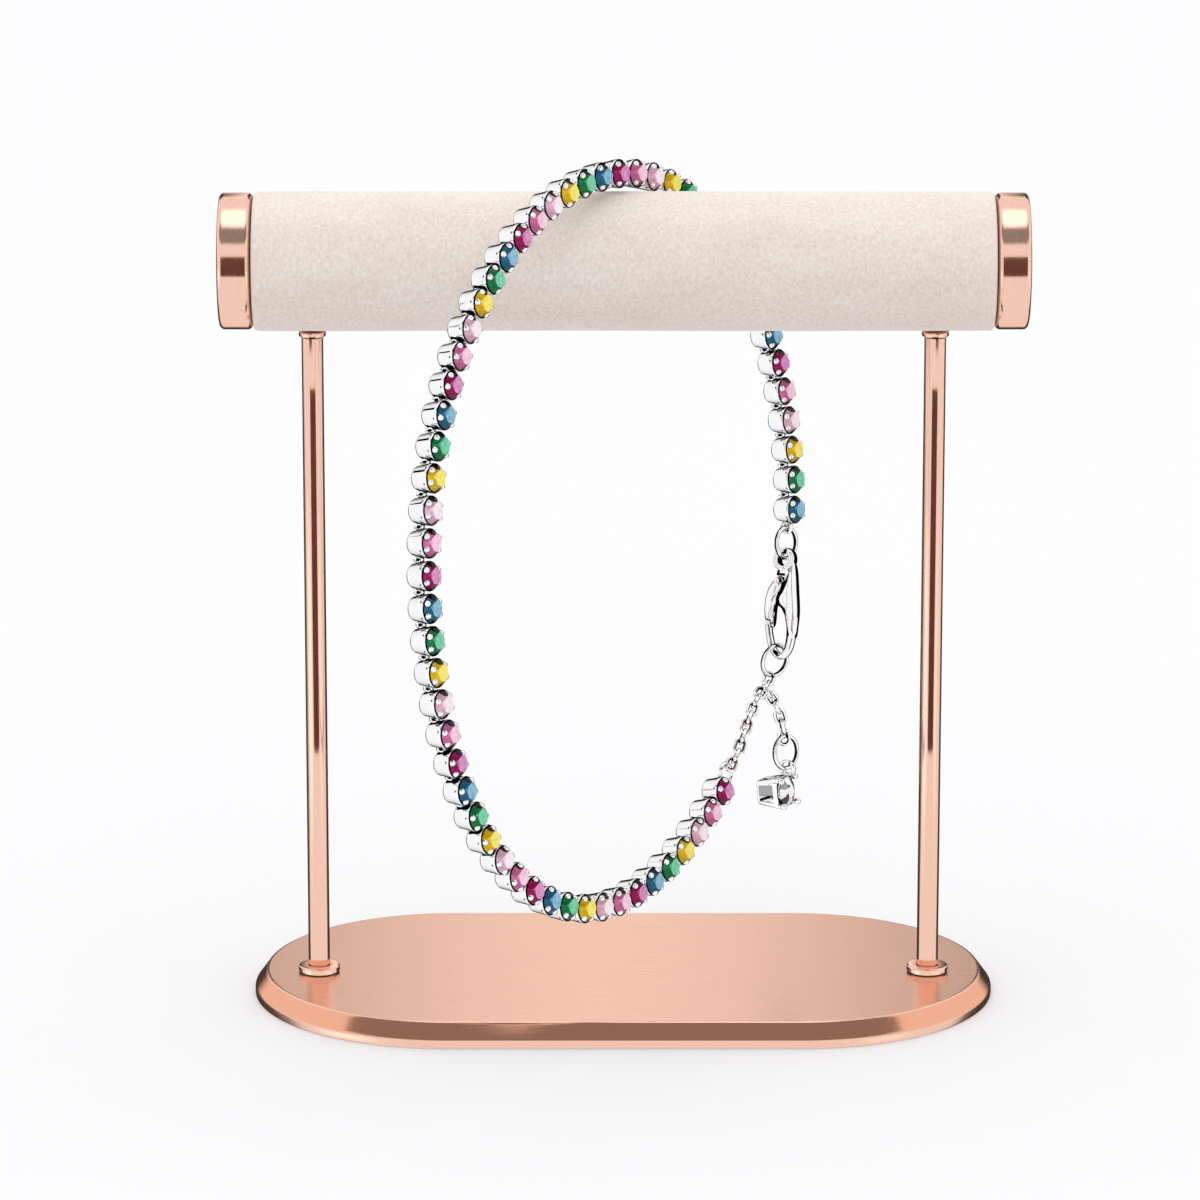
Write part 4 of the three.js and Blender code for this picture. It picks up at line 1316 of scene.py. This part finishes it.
# The room as mirrors see it: dark and bright panels, by their middle and half width in degrees.
# A bearing of 0 is the camera's side and 90 the right; a height of 0 is level.
ROOM = [
    {"bearing": 180, "height": -20, "wide": 68, "tall": 22, "soft": 10, "level": 0.06},
    {"bearing": 180, "height": 13, "wide": 24, "tall": 15, "soft": 8, "level": 0.06},
    {"bearing": 180, "height": 16, "wide": 2.5, "tall": 16, "soft": 9, "level": 1.5},
    {"bearing": 0, "height": 90, "wide": 200, "tall": 18, "soft": 10, "level": 1.8},
    {"bearing": 0, "height": 54, "wide": 75, "tall": 14, "soft": 5, "level": 0.3},
    {"bearing": -62, "height": -16, "wide": 16, "tall": 9, "soft": 8, "level": 1.6},
    {"bearing": 52, "height": -16, "wide": 13, "tall": 9, "soft": 8, "level": 1.25},
    {"bearing": -112, "height": -14, "wide": 9, "tall": 12, "soft": 6, "level": 0.25},
]
ROOM_LEVEL = 1.0
# What lights matt surfaces: brighter overhead than near the horizon.
SIDE_LIGHT = 0.74
TOP_LIGHT = 1.48


def window(tree, source, middle_at, half, soft):
    """1 inside a band of a value, falling smoothly to 0 over a soft edge."""
    off = calculate(tree, "ABSOLUTE", calculate(tree, "SUBTRACT", source, middle_at))
    return remap(tree, off, 1, 0, half - soft / 2, half + soft / 2, interpolation_type="SMOOTHSTEP")


def mix_levels(tree, factor, first, second):
    return add_node(tree, "ShaderNodeMix", {0: factor, 2: first, 3: second}, data_type="FLOAT").outputs[0]


def room_world():
    """The room that mirrors see, and a softer light for everything matt."""
    world = bpy.data.worlds.new("studio room")
    world.use_nodes = True
    tree = world.node_tree
    way = add_node(tree, "ShaderNodeTexCoord").outputs["Generated"]
    parts = add_node(tree, "ShaderNodeSeparateXYZ", {0: way}).outputs
    ahead = calculate(tree, "MULTIPLY", parts["Y"], -1)
    bearing = calculate(tree, "DEGREES", calculate(tree, "ARCTAN2", parts["X"], ahead))
    height = calculate(tree, "DEGREES", calculate(tree, "ARCSINE", parts["Z"]))
    either_side = calculate(tree, "ABSOLUTE", bearing)
    level = ROOM_LEVEL
    for panel in ROOM:
        around = either_side if panel["bearing"] == 180 else bearing
        side = window(tree, around, panel["bearing"], panel["wide"], panel["soft"])
        up = window(tree, height, panel["height"], panel["tall"], panel["soft"])
        level = mix_levels(tree, calculate(tree, "MULTIPLY", side, up), level, panel["level"])
    soft = remap(tree, parts["Z"], SIDE_LIGHT, TOP_LIGHT, -0.1, 0.9, interpolation_type="SMOOTHSTEP")
    matt = add_node(tree, "ShaderNodeLightPath").outputs["Is Diffuse Ray"]
    strength = mix_levels(tree, matt, level, soft)
    plug(tree, tree.nodes["Background"], {"Color": (1, 1, 1, 1), "Strength": strength})
    return world


def pale_floor():
    """A table in white acrylic, sanded matt: an even white with soft shadows."""
    material, tree, shader = new_material("matt white acrylic", Roughness=0.7, Specular_IOR_Level=0.1)
    if tree:
        pale = finish_colour("floor")
        patches = remap(tree, grain(tree, (4, 4, 4), 2), 0, 1)
        plug(tree, shader, {"Base Color": tint(tree, patches, scaled_colour(pale, 0.995), pale)})
    return material


def two_sided_card():
    """Matt card, black towards the bracelet and brown towards the stand."""
    material, tree, shader = new_material("matt brown card", Roughness=1.0, Specular_IOR_Level=0.0)
    if tree:
        rear = add_node(tree, "ShaderNodeNewGeometry").outputs["Backfacing"]
        plug(tree, shader, {"Base Color": tint(tree, rear, linear("080808"), linear("6A4A44"))})
    return material


def flat_sheet(name, material, width, height, place):
    """A staged rectangle."""
    bm = bmesh.new()
    bmesh.ops.create_grid(bm, x_segments=1, y_segments=1, size=0.5,
                          matrix=place @ Matrix.Diagonal((width, height, 1, 1)))
    sheet = add_object(name, bm, material)
    return sheet


def dark_card(name, behind, half_width, foot, top, distance):
    """An upright card in front of a piece of the stand, that only mirrors see."""
    centre = Vector((behind.x, behind.y - distance, (foot + top) / 2))
    card = flat_sheet(name, two_sided_card(), half_width * 2, top - foot,
                      Matrix.Translation(centre) @ Matrix.Rotation(pi / 2, 4, "X"))
    card.visible_camera = False
    card.visible_diffuse = False
    card.visible_shadow = False


class Stage(bpy.types.Operator):
    """Lay the pale floor, light the room and place the camera"""
    bl_idname = "bracelet.stage"
    bl_label = "Stage"

    def execute(self, context):
        scene = context.scene
        scene.world = room_world()
        scene.view_settings.view_transform = "Standard"
        floor = flat_sheet("floor", pale_floor(), FLOOR_HALF * 2, FLOOR_HALF * 2, Matrix())
        floor.visible_glossy = False
        for side in ("left", "right"):
            dark_card("card_post_" + side, middle(f"post_{side}"), half_width=4.2 * MM, foot=20 * MM,
                      top=57 * MM, distance=8 * MM)
            cap = middle(f"end_cap_{side}")
            dark_card("card_cap_" + side, cap, half_width=6 * MM, foot=cap.z - 4.2 * MM,
                      top=cap.z + 6.2 * MM, distance=20.5 * MM)
        lens = bpy.data.cameras.new("camera")
        lens.angle = CAMERA_VIEW
        lens.clip_start = 0.05
        camera = bpy.data.objects.new("camera", lens)
        scene.collection.objects.link(camera)
        ahead = Vector((0, cos(CAMERA_PITCH), -sin(CAMERA_PITCH)))
        camera.location = CAMERA_TARGET - ahead * CAMERA_DISTANCE
        camera.rotation_euler = (pi / 2 - CAMERA_PITCH, 0, 0)
        scene.camera = camera
        return {"FINISHED"}


# ------------------------------------------------------------------ the add-on

OPERATORS = (Stage, StandBase, StandPosts, StandCaps, StandRoll, BraceletCups, BraceletStones, ClaspRings,
             ClaspClaw, ClaspLever, BraceletChains, DropSetting, DropStone)
GROUPS = {
    "stand_sizes": StandSizes,
    "bracelet_sizes": BraceletSizes,
    "clasp_sizes": ClaspSizes,
    "chain_sizes": ChainSizes,
    "drop_sizes": DropSizes,
    "finish_colours": FinishColours,
}


class BraceletPanel(bpy.types.Panel):
    """Buttons for every piece, and the sizes and colours they use"""
    bl_label = "Bracelet"
    bl_idname = "VIEW3D_PT_bracelet"
    bl_space_type = "VIEW_3D"
    bl_region_type = "UI"
    bl_category = "Bracelet"

    def draw(self, context):
        for operator in OPERATORS:
            self.layout.operator(operator.bl_idname)
        for group in GROUPS:
            settings = getattr(context.scene, group)
            for name in settings.__annotations__:
                self.layout.prop(settings, name)


def register():
    for name, group in GROUPS.items():
        bpy.utils.register_class(group)
        setattr(bpy.types.Scene, name, PointerProperty(type=group))
    for operator in OPERATORS:
        bpy.utils.register_class(operator)
    bpy.utils.register_class(BraceletPanel)


def unregister():
    bpy.utils.unregister_class(BraceletPanel)
    for operator in reversed(OPERATORS):
        bpy.utils.unregister_class(operator)
    for name, group in GROUPS.items():
        delattr(bpy.types.Scene, name)
        bpy.utils.unregister_class(group)


def main():
    register()
    for operator in OPERATORS:
        group, name = operator.bl_idname.split(".")
        getattr(getattr(bpy.ops, group), name)()
    bpy.context.view_layer.update()


if __name__ == "__main__":
    main()
